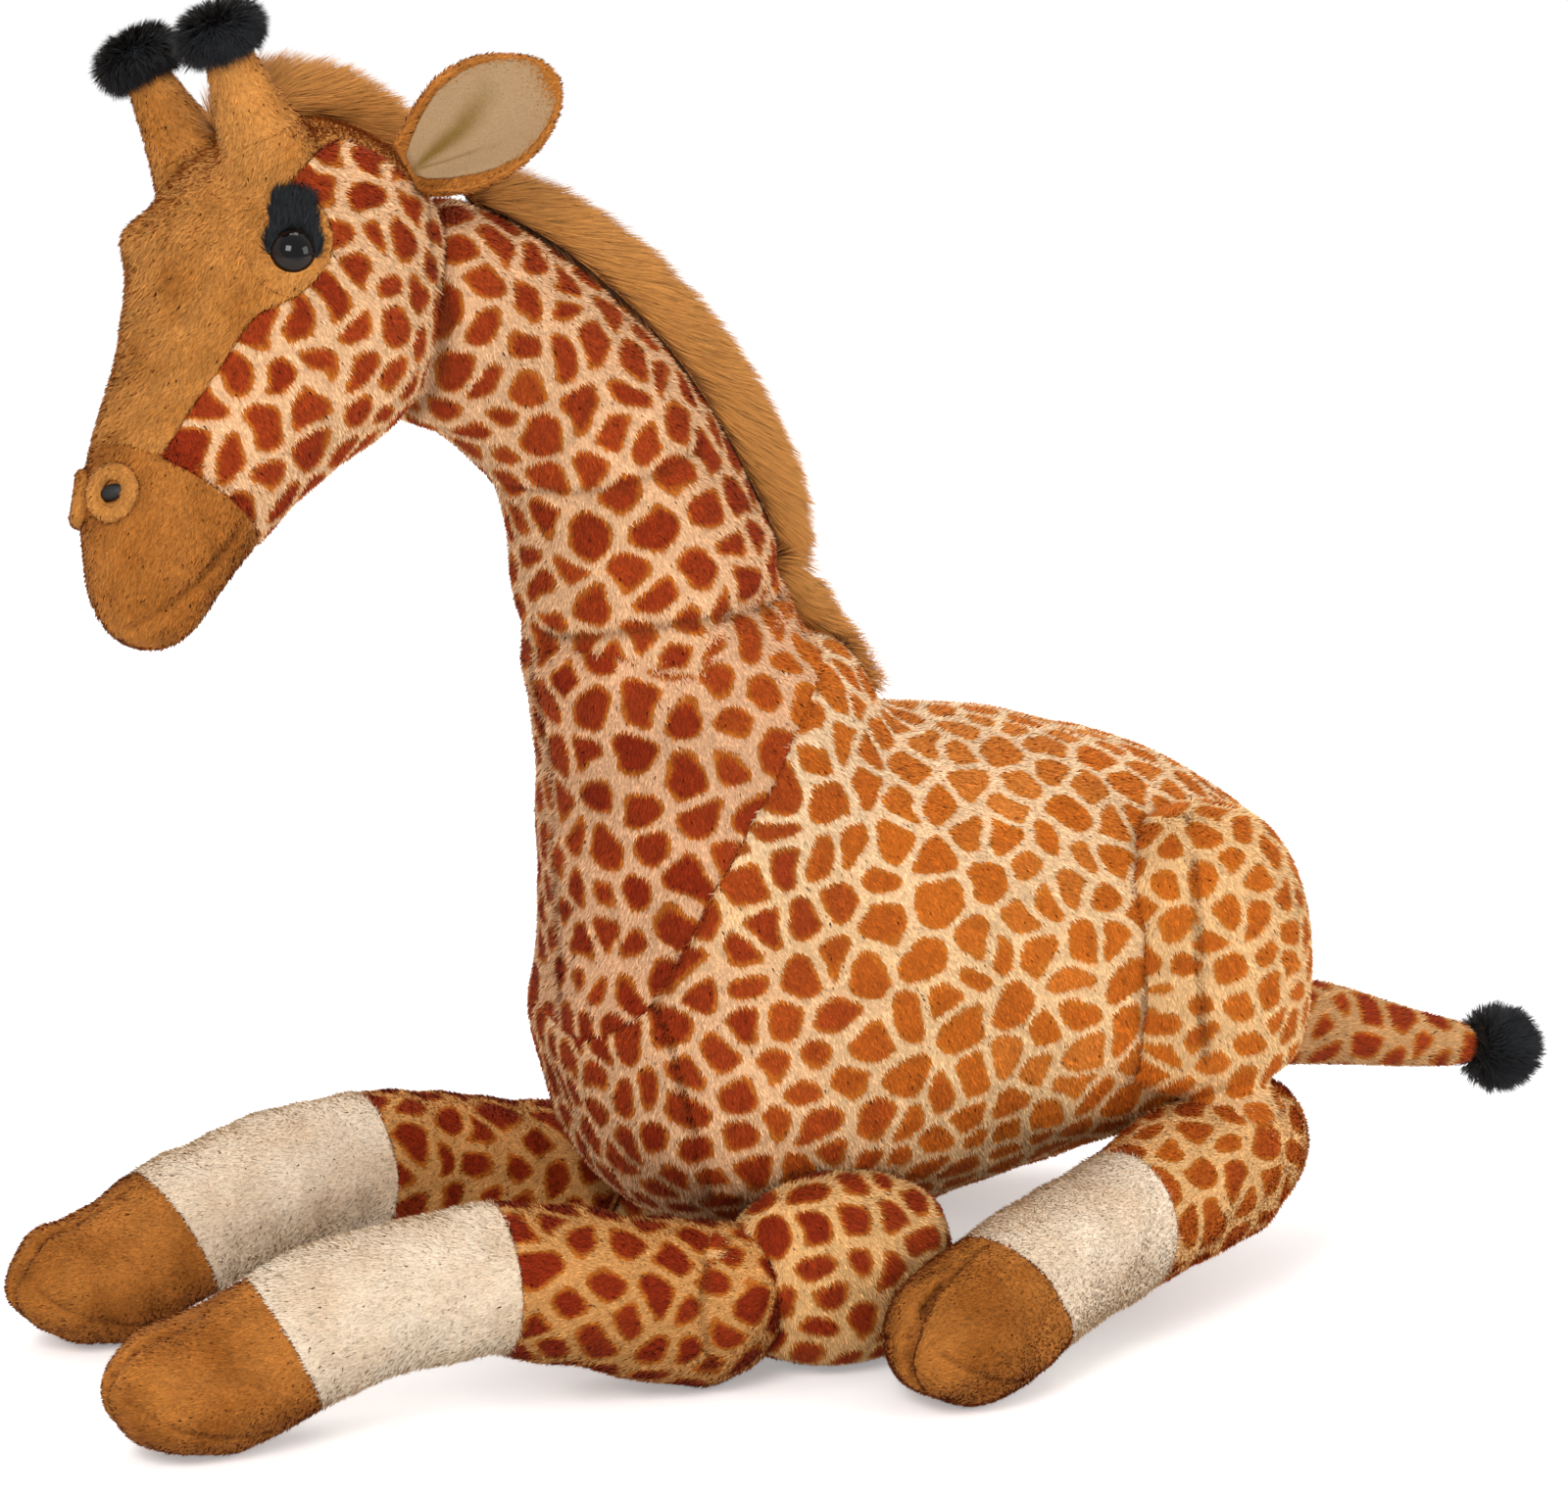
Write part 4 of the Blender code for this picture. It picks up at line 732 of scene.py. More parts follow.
def pile(name, cover, density, length, width, lay, lean, stray, bend, segments=1, clump=0.0, seed=1,
         hidden=None, spare=(0.65, 1.15), ruffle=0.22):
    """Fibres rooted all over a cover: slim tapered blades that lean the way the nap is brushed.

    Density is fibres per square centimetre. Length and width are in metres and lean is in radians
    off the normal. Each fibre keeps its root's place, so the print runs up it in one colour, and
    ruffle turns its shading a little off the cover's.
    """
    rng = np.random.default_rng(seed)
    corners, ways, areas = triangles(cover)
    weights = areas.copy()
    if hidden is not None:
        weights[hidden] = 0.0
    count = int(weights.sum() * 10000.0 * density * PILE_SHARE)
    reached = np.cumsum(weights)
    chosen = np.searchsorted(reached, (np.arange(count) + rng.random(count)) / count * reached[-1])
    chosen = np.minimum(chosen, len(weights) - 1)
    first = np.sqrt((np.arange(count) * ROOT_STEPS[0] + rng.random()) % 1.0)
    second = (np.arange(count) * ROOT_STEPS[1] + rng.random()) % 1.0
    shares = np.stack([1.0 - first, first * (1.0 - second), first * second], axis=1)[:, :, None]
    roots = (corners[chosen] * shares).sum(axis=1)
    up = unit((ways[chosen] * shares).sum(axis=1))
    holders = triangle_corners(cover)[chosen]
    brushed = lay(roots) if callable(lay) else np.array(lay)[None, :]
    along = brushed - up * (brushed * up).sum(axis=1, keepdims=True)
    wild = rng.normal(size=(count, 3))
    if clump:
        cell = np.floor((roots + waver(roots, 9.0 * MM, seed) * clump) / clump).astype(np.int64)
        key = np.bitwise_xor.reduce(cell * np.array(CLUMP_PRIMES), axis=1)
        wild = wild * 0.45 + rng.normal(size=(CLUMPS, 3))[key % CLUMPS] * 0.9
    along = unit(along + 0.001 * wild)
    aim = unit(up * math.cos(lean) + along * math.sin(lean) + wild * stray)
    reach = length * rng.uniform(*spare, count)[:, None]
    broad = unit(np.cross(aim, up + 0.35 * rng.normal(size=(count, 3)))) * width / 2.0
    if PILE_SHARE < 1.0:
        broad = broad * QUICK_WIDTH
    steps = []
    tips = []
    for step in range(segments):
        share = step / segments
        middle = roots + aim * reach * share + along * reach * bend * share * share
        taper = 1.0 - 0.5 * share
        steps += [middle - broad * taper, middle + broad * taper]
        tips += [share, share]
    steps.append(roots + aim * reach + along * reach * bend)
    tips.append(1.0)
    per = len(steps)
    spots = np.stack(steps, axis=1).reshape(-1, 3)
    spots[:, 2] = np.maximum(spots[:, 2], FLOOR_LIFT)
    faces = []
    for step in range(segments - 1):
        left = 2 * step
        faces += [(left, left + 1, left + 3), (left, left + 3, left + 2)]
    faces.append((per - 3, per - 2, per - 1))
    index = (np.arange(count)[:, None, None] * per + np.array(faces)[None]).reshape(-1, 3)
    body, material = WORN[cover.name]
    mesh = bpy.data.meshes.new(name)
    mesh.vertices.add(len(spots))
    mesh.vertices.foreach_set("co", spots.astype(np.float32).ravel())
    mesh.loops.add(index.size)
    mesh.loops.foreach_set("vertex_index", index.astype(np.int32).ravel())
    mesh.polygons.add(len(index))
    mesh.polygons.foreach_set("loop_start", (np.arange(len(index)) * 3).astype(np.int32))
    mesh.update(calc_edges=True)
    note(mesh, "root", np.repeat(roots, per, axis=0))
    for label, values in facts_of(cover).items():
        held = (values[holders] * shares[:, :, 0]).sum(axis=1)
        if label == "dye":
            held = values[holders[np.arange(count), shares[:, :, 0].argmax(axis=1)]]
        note(mesh, label, np.repeat(held, per))
    # How far up its fibre each point lies, which sets its painted root shade
    note(mesh, "tip", np.tile(np.array(tips), count))
    note(mesh, "single", np.repeat(rng.random(count), per))
    shown = mesh.uv_layers.new(name="OFBake")
    turn = np.arctan2(spots[:, 1] - roots[:, 1].mean(), spots[:, 2] - roots[:, 2].mean())
    flat = np.stack([0.5 + turn / math.tau, spots[:, 0]], axis=1)
    flat[:, 1] = (flat[:, 1] - flat[:, 1].min()) / np.ptp(flat[:, 1])
    shown.data.foreach_set("uv", flat[index.ravel()].astype(np.float32).ravel())
    piece = placed(name, mesh)
    mesh.materials.append(material)
    mesh.shade_smooth()
    upright = np.repeat(unit(up + ruffle * rng.normal(size=(count, 3))), per, axis=0)
    mesh.normals_split_custom_set_from_vertices(upright.astype(np.float32).tolist())
    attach(piece, body)


def short_pile(cover, seed, lay, length=2.6 * MM, density=95.0, parts=1):
    """The short pile of a plush cover, in as many pieces as keep each one light."""
    hidden = buried(cover)
    for part in range(parts):
        suffix = "_pile" if parts == 1 else "_pile_" + "ABCDEF"[part]
        pile(cover.name.replace("_cover", "") + suffix, cover, density / parts, length, 0.90 * MM, lay,
             0.95, 0.20, 0.10, seed=seed + part, hidden=hidden)


def snapped(cover, line):
    """A line moved onto a cover."""
    tree = tree_of(cover)
    return [tree.find_nearest(Vector(spot))[0] for spot in line]


def seam_tufts(name, cover, line, seed, lay=(0.0, 0.0, -1.0), length=4.8 * MM):
    """Longer fibres that stand up where a sewn line has pulled the pile apart."""
    corners, _, _ = triangles(cover)
    away = line_gap(corners.mean(axis=1), snapped(cover, line)) > 2.8 * MM
    pile(name, cover, 150.0, length, 0.60 * MM, lay, 0.55, 0.5, 0.1, clump=2.5 * MM, seed=seed, hidden=away)


def block_of(outline, reach, place):
    """A block whose outline is given flat, with a rule that places each corner at a reach to a side."""
    corners = [place(first, second, side) for side in (-reach, reach) for first, second in outline]
    count = len(outline)
    faces = [tuple(range(count)), tuple(range(2 * count - 1, count - 1, -1))]
    faces += [(step, step + count, (step + 1) % count + count, (step + 1) % count) for step in range(count)]
    return from_points("block", corners, faces)


def divided(cover, block, inner_name, outer_name):
    """Cuts a cover in two along the skin of a block: what lies in it and what lies out of it."""
    inner = parted(cover, inner_name, [])
    outer = parted(cover, outer_name, [])
    applied(inner, "BOOLEAN", object=block, operation="INTERSECT", solver="EXACT")
    applied(outer, "BOOLEAN", object=block, operation="DIFFERENCE", solver="EXACT")
    bpy.data.objects.remove(block)
    bpy.data.objects.remove(cover)
    return inner, outer


# Trunk: the body and the lower neck, parted at the slanted shoulder seam
trunk_fillers = [(FORE_HINGES[side], 0.0315) for side in SIDES]
trunk_fillers += [(HIND_HINGES[side], 0.0310) for side in SIDES]
trunk_fillers.append((TAIL_HINGE, 0.0180))
trunk = stuffed("trunk", ["body", "neck_lower"], 5.0 * MM, 26, 0.8 * MM, trunk_fillers)
rumpled(trunk, 1.3 * MM, 48.0 * MM, 3)
SHOULDER_BLOCK = block_of(SHOULDER_EDGE, 0.3, lambda x, z, y: (x, y, z))
neck_lower_cover, body_cover = divided(trunk, SHOULDER_BLOCK, "neck_lower_cover", "body_cover")
for panel in (body_cover, neck_lower_cover):
    edge_gap = line_gap(places(panel)[:, [0, 2]], SHOULDER_EDGE[:12])
    tucked(panel, edge_gap, 4.0 * MM, 0.6 * MM)
creased_twice(body_cover, CHEST_SEAM, 2.6 * MM, 1.8 * MM, 0.4)
creased(neck_lower_cover, FRONT_SEAM, 2.4 * MM, 1.2 * MM, 0.3)
neck_cover = stuffed("neck_upper_cover", ["neck_upper"], 3.6 * MM, 16, 0.8 * MM, [(NECK_FOLD, 0.0605)])
rumpled(neck_cover, 0.8 * MM, 40.0 * MM, 4)
# The neck's fold, wrinkle, cross crease and head groove are darkened with painted shade
creased_twice(neck_lower_cover, NECK_FOLD_LINE, 3.6 * MM, 2.5 * MM, 0.9)
creased_twice(neck_cover, NECK_FOLD_LINE, 4.2 * MM, 3.2 * MM, 0.9)
creased_twice(neck_cover, NECK_WRINKLE, 3.4 * MM, 3.0 * MM, 0.5)
creased_twice(neck_cover, NECK_CROSS, 3.2 * MM, 1.6 * MM, 0.25)
creased_twice(neck_cover, HEAD_GROOVE, 6.0 * MM, 3.0 * MM, 0.8)
# The body's ground is painted paler on its back, and its rust darker low and lighter high: painted sheen and
# shade
finished(body_cover, "torso", PRINT, ["body"], spacing=18.6 * MM, warmth=None)
finished(neck_lower_cover, "torso", PRINT, ["neck_lower"], spacing=20.5 * MM, warmth=0.25)
finished(neck_cover, "neck", PRINT, ["neck_upper"], spacing=19.5 * MM, dye=0.20, warmth=0.22)

# Head: one stuffed form with its horns, parted into printed cheeks, the face panel, the muzzle and the horns
head_fillers = [(NECK_TOP, 0.0440)]
head_fillers += [(middle - way * 0.0085, 0.0118) for middle, way in EYES.values()]
head_form = stuffed("head_form", ["head", "face_panel", "muzzle"], 3.6 * MM, 14, 0.6 * MM, head_fillers)
horn_forms = []
for side, (foot, lean) in HORNS.items():
    horn_forms.append(stuffed("horn_form_" + side, ["horn_" + side], 1.6 * MM, 8, 0.3 * MM,
                              [(foot - lean * 0.010, 0.0180)], finer=0))
lid_forms = [stuffed("lid_form_" + side, ["eyelid_" + side], 1.2 * MM, 6, 0.2 * MM, finer=0)
             for side in SIDES]
skull = joined([head_form] + horn_forms + lid_forms, "skull")
applied(skull, "REMESH", mode="VOXEL", voxel_size=1.7 * MM)
feet = skull.vertex_groups.new(name="horn_feet")
weights = np.zeros(len(skull.data.vertices))
for foot, lean in HORNS.values():
    spots = places(skull) - np.array(foot)
    rise = spots @ np.array(lean)
    out = np.linalg.norm(spots - rise[:, None] * np.array(lean), axis=1)
    weights = np.maximum(weights, np.exp(-(((out - 0.021) ** 2 + (rise - 0.002) ** 2) / 0.011 ** 2)))
for index in np.nonzero(weights > 0.05)[0]:
    feet.add([int(index)], float(weights[index]), "REPLACE")
for middle, _ in EYES.values():
    gap = np.linalg.norm(places(skull) - np.array(middle), axis=1)
    for index in np.nonzero(gap < 0.024)[0]:
        feet.add([int(index)], 0.5, "REPLACE")
applied(skull, "SMOOTH", factor=0.5, iterations=90, vertex_group="horn_feet")
applied(skull, "SMOOTH", factor=0.5, iterations=4)
bpy.ops.object.shade_smooth()
skull.vertex_groups.clear()
rumpled(skull, 0.5 * MM, 30.0 * MM, 8)
for middle, way in EYES.values():
    puffed(skull, middle + NOSE * 0.015 + BROW * 0.012 + way * 0.004, 0.009, 1.6 * MM)
puffed(skull, (-0.3235, 0.0015, 0.5150), 0.0100, 5.0 * MM)
puffed(skull, (-0.3310, 0.0000, 0.4935), 0.0080, -2.0 * MM)
puffed(skull, (-0.2350, -0.0500, 0.4800), 0.0200, 2.0 * MM)
puffed(skull, (-0.3250, -0.0760, 0.3700), 0.0140, 1.5 * MM)
creased(skull, BROW_CREASE, 3.0 * MM, 1.0 * MM, 0.0)
creased(skull, MOUTH, 2.6 * MM, 3.6 * MM, 0.0)
SKULL_TREE = tree_of(skull)
MUZZLE_POINT = CROWN + NOSE * (HEAD_LENGTH * 0.73)
MUZZLE_WAY = (NOSE + BROW * 0.0279).normalized()
FACE_EDGE = [(-0.300, -0.350), (0.020, -0.250), (0.078, -0.110), (0.067, -0.011), (0.066, 0.074),
             (0.076, 0.142), (0.116, 0.196), (0.170, 0.241), (0.212, 0.262), (0.222, 0.225), (0.222, 0.182),
             (0.234, 0.136), (0.263, 0.097), (0.300, 0.078), (0.346, 0.082), (0.389, 0.102),
             (0.422, 0.138), (0.455, 0.182), (0.537, 0.174), (0.665, 0.188), (0.716, 0.190), (1.300, 0.180)]


def eased(line):
    """A line with its corners cut round."""
    for _ in range(2):
        softer = [line[0]]
        for (first, second), (third, fourth) in zip(line, line[1:]):
            softer.append((first * 0.75 + third * 0.25, second * 0.75 + fourth * 0.25))
            softer.append((first * 0.25 + third * 0.75, second * 0.25 + fourth * 0.75))
        line = softer + [line[-1]]
    return line


FACE_LINE = eased([(HEAD_LENGTH * along, HEAD_DEPTH * up) for along, up in FACE_EDGE])


def head_flat(panel):
    """Places along the nose and up to the brow, as seen from the side of the head."""
    spots = places(panel) - np.array(CROWN)
    return np.stack([spots @ np.array(NOSE), spots @ np.array(BROW)], axis=1)


def head_place(along, up, side):
    """A place by its reach down the nose, up to the brow and out to the cheek."""
    return CROWN + NOSE * along + BROW * up + CHEEK * side


def drum(middle, way, radius, low, high):
    """A short round block around a line."""
    across = way.orthogonal().normalized()
    beside = way.cross(across)
    corners = []
    for rise in (low, high):
        for step in range(DRUM_CORNERS):
            turn = math.tau * step / DRUM_CORNERS
            corners.append(middle + way * rise + (across * math.cos(turn) + beside * math.sin(turn)) * radius)
    faces = [tuple(range(DRUM_CORNERS)), tuple(range(2 * DRUM_CORNERS - 1, DRUM_CORNERS - 1, -1))]
    for step in range(DRUM_CORNERS):
        after = (step + 1) % DRUM_CORNERS
        faces.append((step, after, after + DRUM_CORNERS, step + DRUM_CORNERS))
    return from_points("drum", corners, faces)


muzzle_cover = parted(skull, "muzzle_cover", [(MUZZLE_POINT, -MUZZLE_WAY)])
upper_skull = parted(skull, "upper_skull", [(MUZZLE_POINT, MUZZLE_WAY)])
bpy.data.objects.remove(skull)
FACE_BLOCK = block_of(FACE_LINE + [(0.40, 0.20), (-0.20, 0.20)], 0.2, head_place)
face_cover, cheeks_cover = divided(upper_skull, FACE_BLOCK, "face_cover", "cheeks_cover")
horn_covers = {}
lid_covers = {}
for side in SIDES:
    foot, lean = HORNS[side]
    middle, way = EYES[side]
    horn_covers[side], face_cover = divided(face_cover, drum(foot, lean, 0.028, 0.0075, 0.080),
                                            "horn_" + side + "_cover", "face_cover")
    lid_covers[side], face_cover = divided(face_cover, drum(middle, way, 0.0195, -0.013, 0.020),
                                           "eyelid_" + side + "_cover", "face_cover")
face_cover.name = "face_cover"
for panel in (cheeks_cover, face_cover):
    tucked(panel, line_gap(head_flat(panel), FACE_LINE), 3.5 * MM, 0.6 * MM)
# The head groove on the cheeks is darkened with painted shade
creased_twice(cheeks_cover, HEAD_GROOVE, 4.0 * MM, 1.5 * MM, 0.8)
muzzle_print_side = -(places(muzzle_cover) - np.array(CROWN)) @ np.array(BROW)
tucked(cheeks_cover, plane_gap(cheeks_cover, MUZZLE_POINT, MUZZLE_WAY), 4.0 * MM, 0.9 * MM)
tucked(muzzle_cover, plane_gap(muzzle_cover, MUZZLE_POINT, MUZZLE_WAY)
       + np.where(muzzle_print_side < -0.026, 1.0, 0.0), 4.0 * MM, 0.9 * MM)
# Painted shade along the groove of the mouth
DARK_SEAMS_AND_FOLD_SHADE["muzzle_cover"] = [(MOUTH, 2.2 * MM, 0.8)]
finished(cheeks_cover, "skull", PRINT, ["head"], dye=0.15, warmth=0.20)
finished(face_cover, "skull", TAN, ["face_panel"])
finished(muzzle_cover, "skull", DEEP_TAN, ["muzzle"])
for side in SIDES:
    finished(horn_covers[side], "skull", TAN, ["horn_" + side])
    finished(lid_covers[side], "skull", TAN, ["eyelid_" + side])

# Legs: a form for each, parted at its two seams, and the upper arms and thighs on the trunk


def leg_covers(side, names, nodes, body, hinge, way, reaches, seam_height):
    """The three covers of a lower leg, parted at a square seam and a slanted one."""
    form = stuffed("leg", nodes, 3.2 * MM, 14, 0.6 * MM)
    rumpled(form, 0.7 * MM, 36.0 * MM, 20 + len(COVERS))
    seam = hinge + way * reaches[0]
    hoof_seam = hinge + way * reaches[1]
    hoof_seam.z = seam_height
    slant = way * math.cos(HOOF_LEAN) - UPWARD * math.sin(HOOF_LEAN)
    cuts = (
        [(seam, way)],
        [(seam, -way), (hoof_seam, slant)],
        [(hoof_seam, -slant)],
    )
    made = []
    for name, label, cut, material in zip(names, nodes, cuts, (PRINT, CREAM, DEEP_TAN)):
        panel = parted(form, name + "_" + side + "_cover", cut)
        tucked(panel, plane_gap(panel, seam, way), 3.0 * MM, 0.35 * MM)
        tucked(panel, plane_gap(panel, hoof_seam, slant), 3.0 * MM, 0.45 * MM)
        if material is DEEP_TAN:
            sew_hoof(panel, hinge, way, reaches[1], reaches[2])
        if name == "forearm":
            # The elbow fold is darkened with painted shade, by creased's own darkness
            creased(panel, on_side(ELBOW_FOLD, side), 3.5 * MM, 2.2 * MM)
        dye, warmth = (0.0, 0.95) if name == "forearm" else (0.50, 0.55)
        finished(panel, body, material, [label], dye=dye, warmth=warmth)
        made.append(panel)
    bpy.data.objects.remove(form)
    return made


def on_skin(cover, spots, way):
    """Where rays in one direction from far away meet a cover."""
    tree = tree_of(cover)
    met = [tree.ray_cast(spot - way * 0.2, way)[0] for spot in spots]
    return [spot for spot in met if spot is not None]


def sew_hoof(cover, hinge, way, start, end):
    """The cleft between the toes, the seam that runs to it, and the seams of the sole."""
    beside = UPWARD.cross(way)
    base = Vector((hinge.x, hinge.y, 0.0))
    top = on_skin(cover, [base + way * (start + (end - start) * share)
                          for share in (0.05, 0.2, 0.35, 0.5, 0.62, 0.72, 0.82, 0.9)], -UPWARD)
    front = on_skin(cover, [base + way * end + UPWARD * height
                            for height in (0.052, 0.046, 0.040, 0.034, 0.028, 0.022, 0.016)], -way)
    puffed(cover, top[4], 0.020, -1.5 * MM)
    creased(cover, top, 1.8 * MM, 1.4 * MM, 0.6)
    # The cleft between the toes is darkened fully, as painted shade
    creased(cover, top[-3:] + front, 3.0 * MM, 6.0 * MM, 1.0)
    for sign in (-1.0, 1.0):
        across = beside * sign
        heights = ((0.97, 0.034), (0.88, 0.028), (0.72, 0.021), (0.55, 0.016), (0.36, 0.013), (0.12, 0.012))
        low = on_skin(cover, [base + way * (start + (end - start) * share) + UPWARD * height
                              for share, height in heights], -across)
        creased(cover, front[2:3] + low, 1.8 * MM, 1.3 * MM, 0.6)


LEGS = {}
for side in SIDES:
    fore_nodes = ["forearm_" + side, "fore_pastern_" + side, "fore_hoof_" + side]
    LEGS["fore", side] = leg_covers(side, ("forearm", "fore_pastern", "fore_hoof"), fore_nodes,
                                    side + "_foreleg", FORE_HINGES[side], FORE_WAYS[side],
                                    (0.0959, 0.1877, FORE_LENGTH), 0.0310)
    hind_nodes = ["shank_" + side, "hind_pastern_" + side, "hind_hoof_" + side]
    LEGS["hind", side] = leg_covers(side, ("shank", "hind_pastern", "hind_hoof"), hind_nodes,
                                    side + "_hindleg", HIND_HINGES[side], HIND_WAYS[side],
                                    (0.0721, 0.1423, HIND_LENGTH), 0.0285)
    arm_cover = stuffed("upper_arm_" + side + "_cover", ["upper_arm_" + side], 3.2 * MM, 14, 0.6 * MM,
                        [(FORE_HINGES[side], 0.0315)])
    rumpled(arm_cover, 0.8 * MM, 30.0 * MM, 61)
    finished(arm_cover, "torso", PRINT, ["upper_arm_" + side], dye=0.10, warmth=0.65)
    thigh_cover = stuffed("thigh_" + side + "_cover", ["thigh_" + side], 3.2 * MM, 14, 0.6 * MM,
                          [(HIND_HINGES[side], 0.0310)])
    creased(thigh_cover, on_side(HAUNCH_SEAM, side), 2.6 * MM, 1.7 * MM, 0.35)
    finished(thigh_cover, "torso", PRINT, ["thigh_" + side], spacing=18.6 * MM, dye=0.68,
             warmth=0.42)
    LEGS["arm", side] = arm_cover
    LEGS["thigh", side] = thigh_cover

# Tail
tail_cover = stuffed("tail_cover", ["tail"], 2.6 * MM, 10, 0.5 * MM)
finished(tail_cover, "rear_tail", PRINT, ["tail"], spacing=19.0 * MM, dye=0.15, warmth=0.80)

# Ears: a tan leaf with a rolled rim, and the smooth lining in its hollow. Each outline is given as
# reaches from the root, with the half width there above and below the middle line
EAR_THICKNESS = 0.0052
RIM_HIGH = [(-0.0020, 0.0075), (0.0040, 0.0108), (0.0104, 0.0150), (0.0165, 0.0189), (0.0258, 0.0229),
            (0.0325, 0.0243), (0.0400, 0.0247), (0.0466, 0.0239), (0.0542, 0.0214), (0.0611, 0.0178),
            (0.0665, 0.0143), (0.0700, 0.0110), (0.0722, 0.0072), (0.0736, 0.0)]
RIM_LOW = [(-0.0020, 0.0145), (0.0021, 0.0186), (0.0095, 0.0226), (0.0159, 0.0249), (0.0242, 0.0265),
           (0.0317, 0.0269), (0.0395, 0.0262), (0.0459, 0.0249), (0.0530, 0.0223), (0.0591, 0.0186),
           (0.0647, 0.0143), (0.0686, 0.0103), (0.0715, 0.0060), (0.0736, 0.0)]
LINING_HIGH = [(0.0004, 0.0016), (0.0057, 0.0068), (0.0137, 0.0130), (0.0243, 0.0192), (0.0355, 0.0217),
               (0.0454, 0.0218), (0.0561, 0.0190), (0.0622, 0.0160), (0.0675, 0.0122), (0.0700, 0.0092),
               (0.0718, 0.0055), (0.0726, 0.0)]
LINING_LOW = [(0.0004, 0.0080), (0.0038, 0.0125), (0.0126, 0.0172), (0.0246, 0.0211), (0.0340, 0.0227),
              (0.0429, 0.0230), (0.0515, 0.0208), (0.0602, 0.0155), (0.0650, 0.0112), (0.0685, 0.0072),
              (0.0710, 0.0036), (0.0726, 0.0)]
EAR_ROWS = 38
EAR_COLUMNS = 31


def ear_sheet(side, high, low):
    """Places over the curled sheet of an ear inside an outline, and what its making needs of each."""
    root, way, face = (np.array(part) for part in EARS[side])
    breadth = np.cross(face, way) * -SIDES[side]
    start, end = high[0][0], high[-1][0]
    turns = np.linspace(0.0, math.pi / 2.0, EAR_ROWS)
    reach = (start + (end - start) * np.sin(turns))[:, None]
    across = np.linspace(-1.0, 1.0, EAR_COLUMNS)[None, :]
    tall = np.interp(reach, *np.array(high).T)
    deep = np.interp(reach, *np.array(low).T)
    beside = np.where(across > 0.0, across * tall, across * deep)
    along = np.clip(reach / 0.074, 0.0, 1.0)
    inset = beside / 0.0265
    cup = 0.0095 * along * (inset ** 2 - 0.35)
    fold = 0.015 * np.abs(inset + 0.15) ** 1.3 * (1.0 - along) ** 1.4
    lobe = 0.0030 * np.exp(-((beside + 0.0200 + 0.0 * reach) / 0.0060) ** 2) * (1.0 - along)
    raised = cup + fold + lobe
    spots = (root + (reach + 0.0 * across)[..., None] * way + beside[..., None] * breadth
             + raised[..., None] * face)
    out = unit(np.cross(np.gradient(spots, axis=0), np.gradient(spots, axis=1)))
    out = out * np.sign((out * face).sum(axis=-1, keepdims=True))
    rim = np.maximum(np.abs(across) + 0.0 * reach, (reach - start) / (end - start) + 0.0 * across)
    return spots, out, rim, reach + 0.0 * across, beside


def leaf(name, front, back):
    """A closed leaf between two sheets of the same rows and columns."""
    rows, columns = front.shape[:2]
    corners = np.concatenate([front.reshape(-1, 3), back.reshape(-1, 3)])
    size = rows * columns
    faces = []
    for row in range(rows - 1):
        for column in range(columns - 1):
            low = row * columns + column
            quad = (low, low + 1, low + columns + 1, low + columns)
            faces.append(quad)
            faces.append(tuple(size + index for index in reversed(quad)))
    border = list(range(columns))
    border += [row * columns + columns - 1 for row in range(1, rows)]
    border += [(rows - 1) * columns + column for column in range(columns - 2, -1, -1)]
    border += [row * columns for row in range(rows - 2, 0, -1)]
    for first, second in zip(border, border[1:] + border[:1]):
        faces.append((first, first + size, second + size, second))
    return from_points(name, corners, faces)


for side in SIDES:
    spots, out, rim, _, _ = ear_sheet(side, RIM_HIGH, RIM_LOW)
    thick = EAR_THICKNESS / 2.0
    front = spots + out * (thick * (0.25 + 0.95 * rim ** 8))[..., None]
    ear_cover = leaf("ear_" + side + "_cover", front, spots - out * thick)
    applied(ear_cover, "REMESH", mode="VOXEL", voxel_size=1.1 * MM)
    applied(ear_cover, "SMOOTH", factor=0.5, iterations=6)
    bpy.ops.object.shade_smooth()
    finished(ear_cover, side + "_ear", DEEP_TAN, ["ear_" + side])
    spots, out, _, reach, beside = ear_sheet(side, LINING_HIGH, LINING_LOW)
    level = spots + out * (thick * 0.25 + 1.0 * MM)
    lining_cover = leaf("ear_lining_" + side + "_cover", level + out * 0.4 * MM, level - out * 1.0 * MM)
    # Painted shade in olive along the middle fold, to about two thirds of the ear, and a thin line where the
    # lower lobe folds up
    fold_shade_line = np.interp(reach, [0.0, 0.0085, 0.0171, 0.0246, 0.0306, 0.0393, 0.0453],
                            [-0.0059, -0.0032, -0.0012, 0.0005, 0.0029, 0.0068, 0.0110])
    stroke = np.exp(-((beside - fold_shade_line) / (0.0022 + 0.11 * reach)) ** 2)
    stroke = stroke * np.interp(reach, [0.0, 0.008, 0.030, 0.052], [0.7, 1.0, 0.8, 0.0])
    stroke = np.maximum(stroke, 0.8 * np.exp(-((beside + 0.0063 + 0.20 * reach) / 0.0008) ** 2)
                        * np.interp(reach, [0.0, 0.030, 0.045], [1.0, 0.6, 0.0]))
    sheet_points = level.reshape(-1, 3)
    nearest = [np.linalg.norm(sheet_points - spot, axis=1).argmin() for spot in places(lining_cover)]
    note(lining_cover.data, "stroke", stroke.reshape(-1)[nearest])
    bpy.ops.object.shade_smooth()
    finished(lining_cover, side + "_ear", LINING, ["ear_lining_" + side])
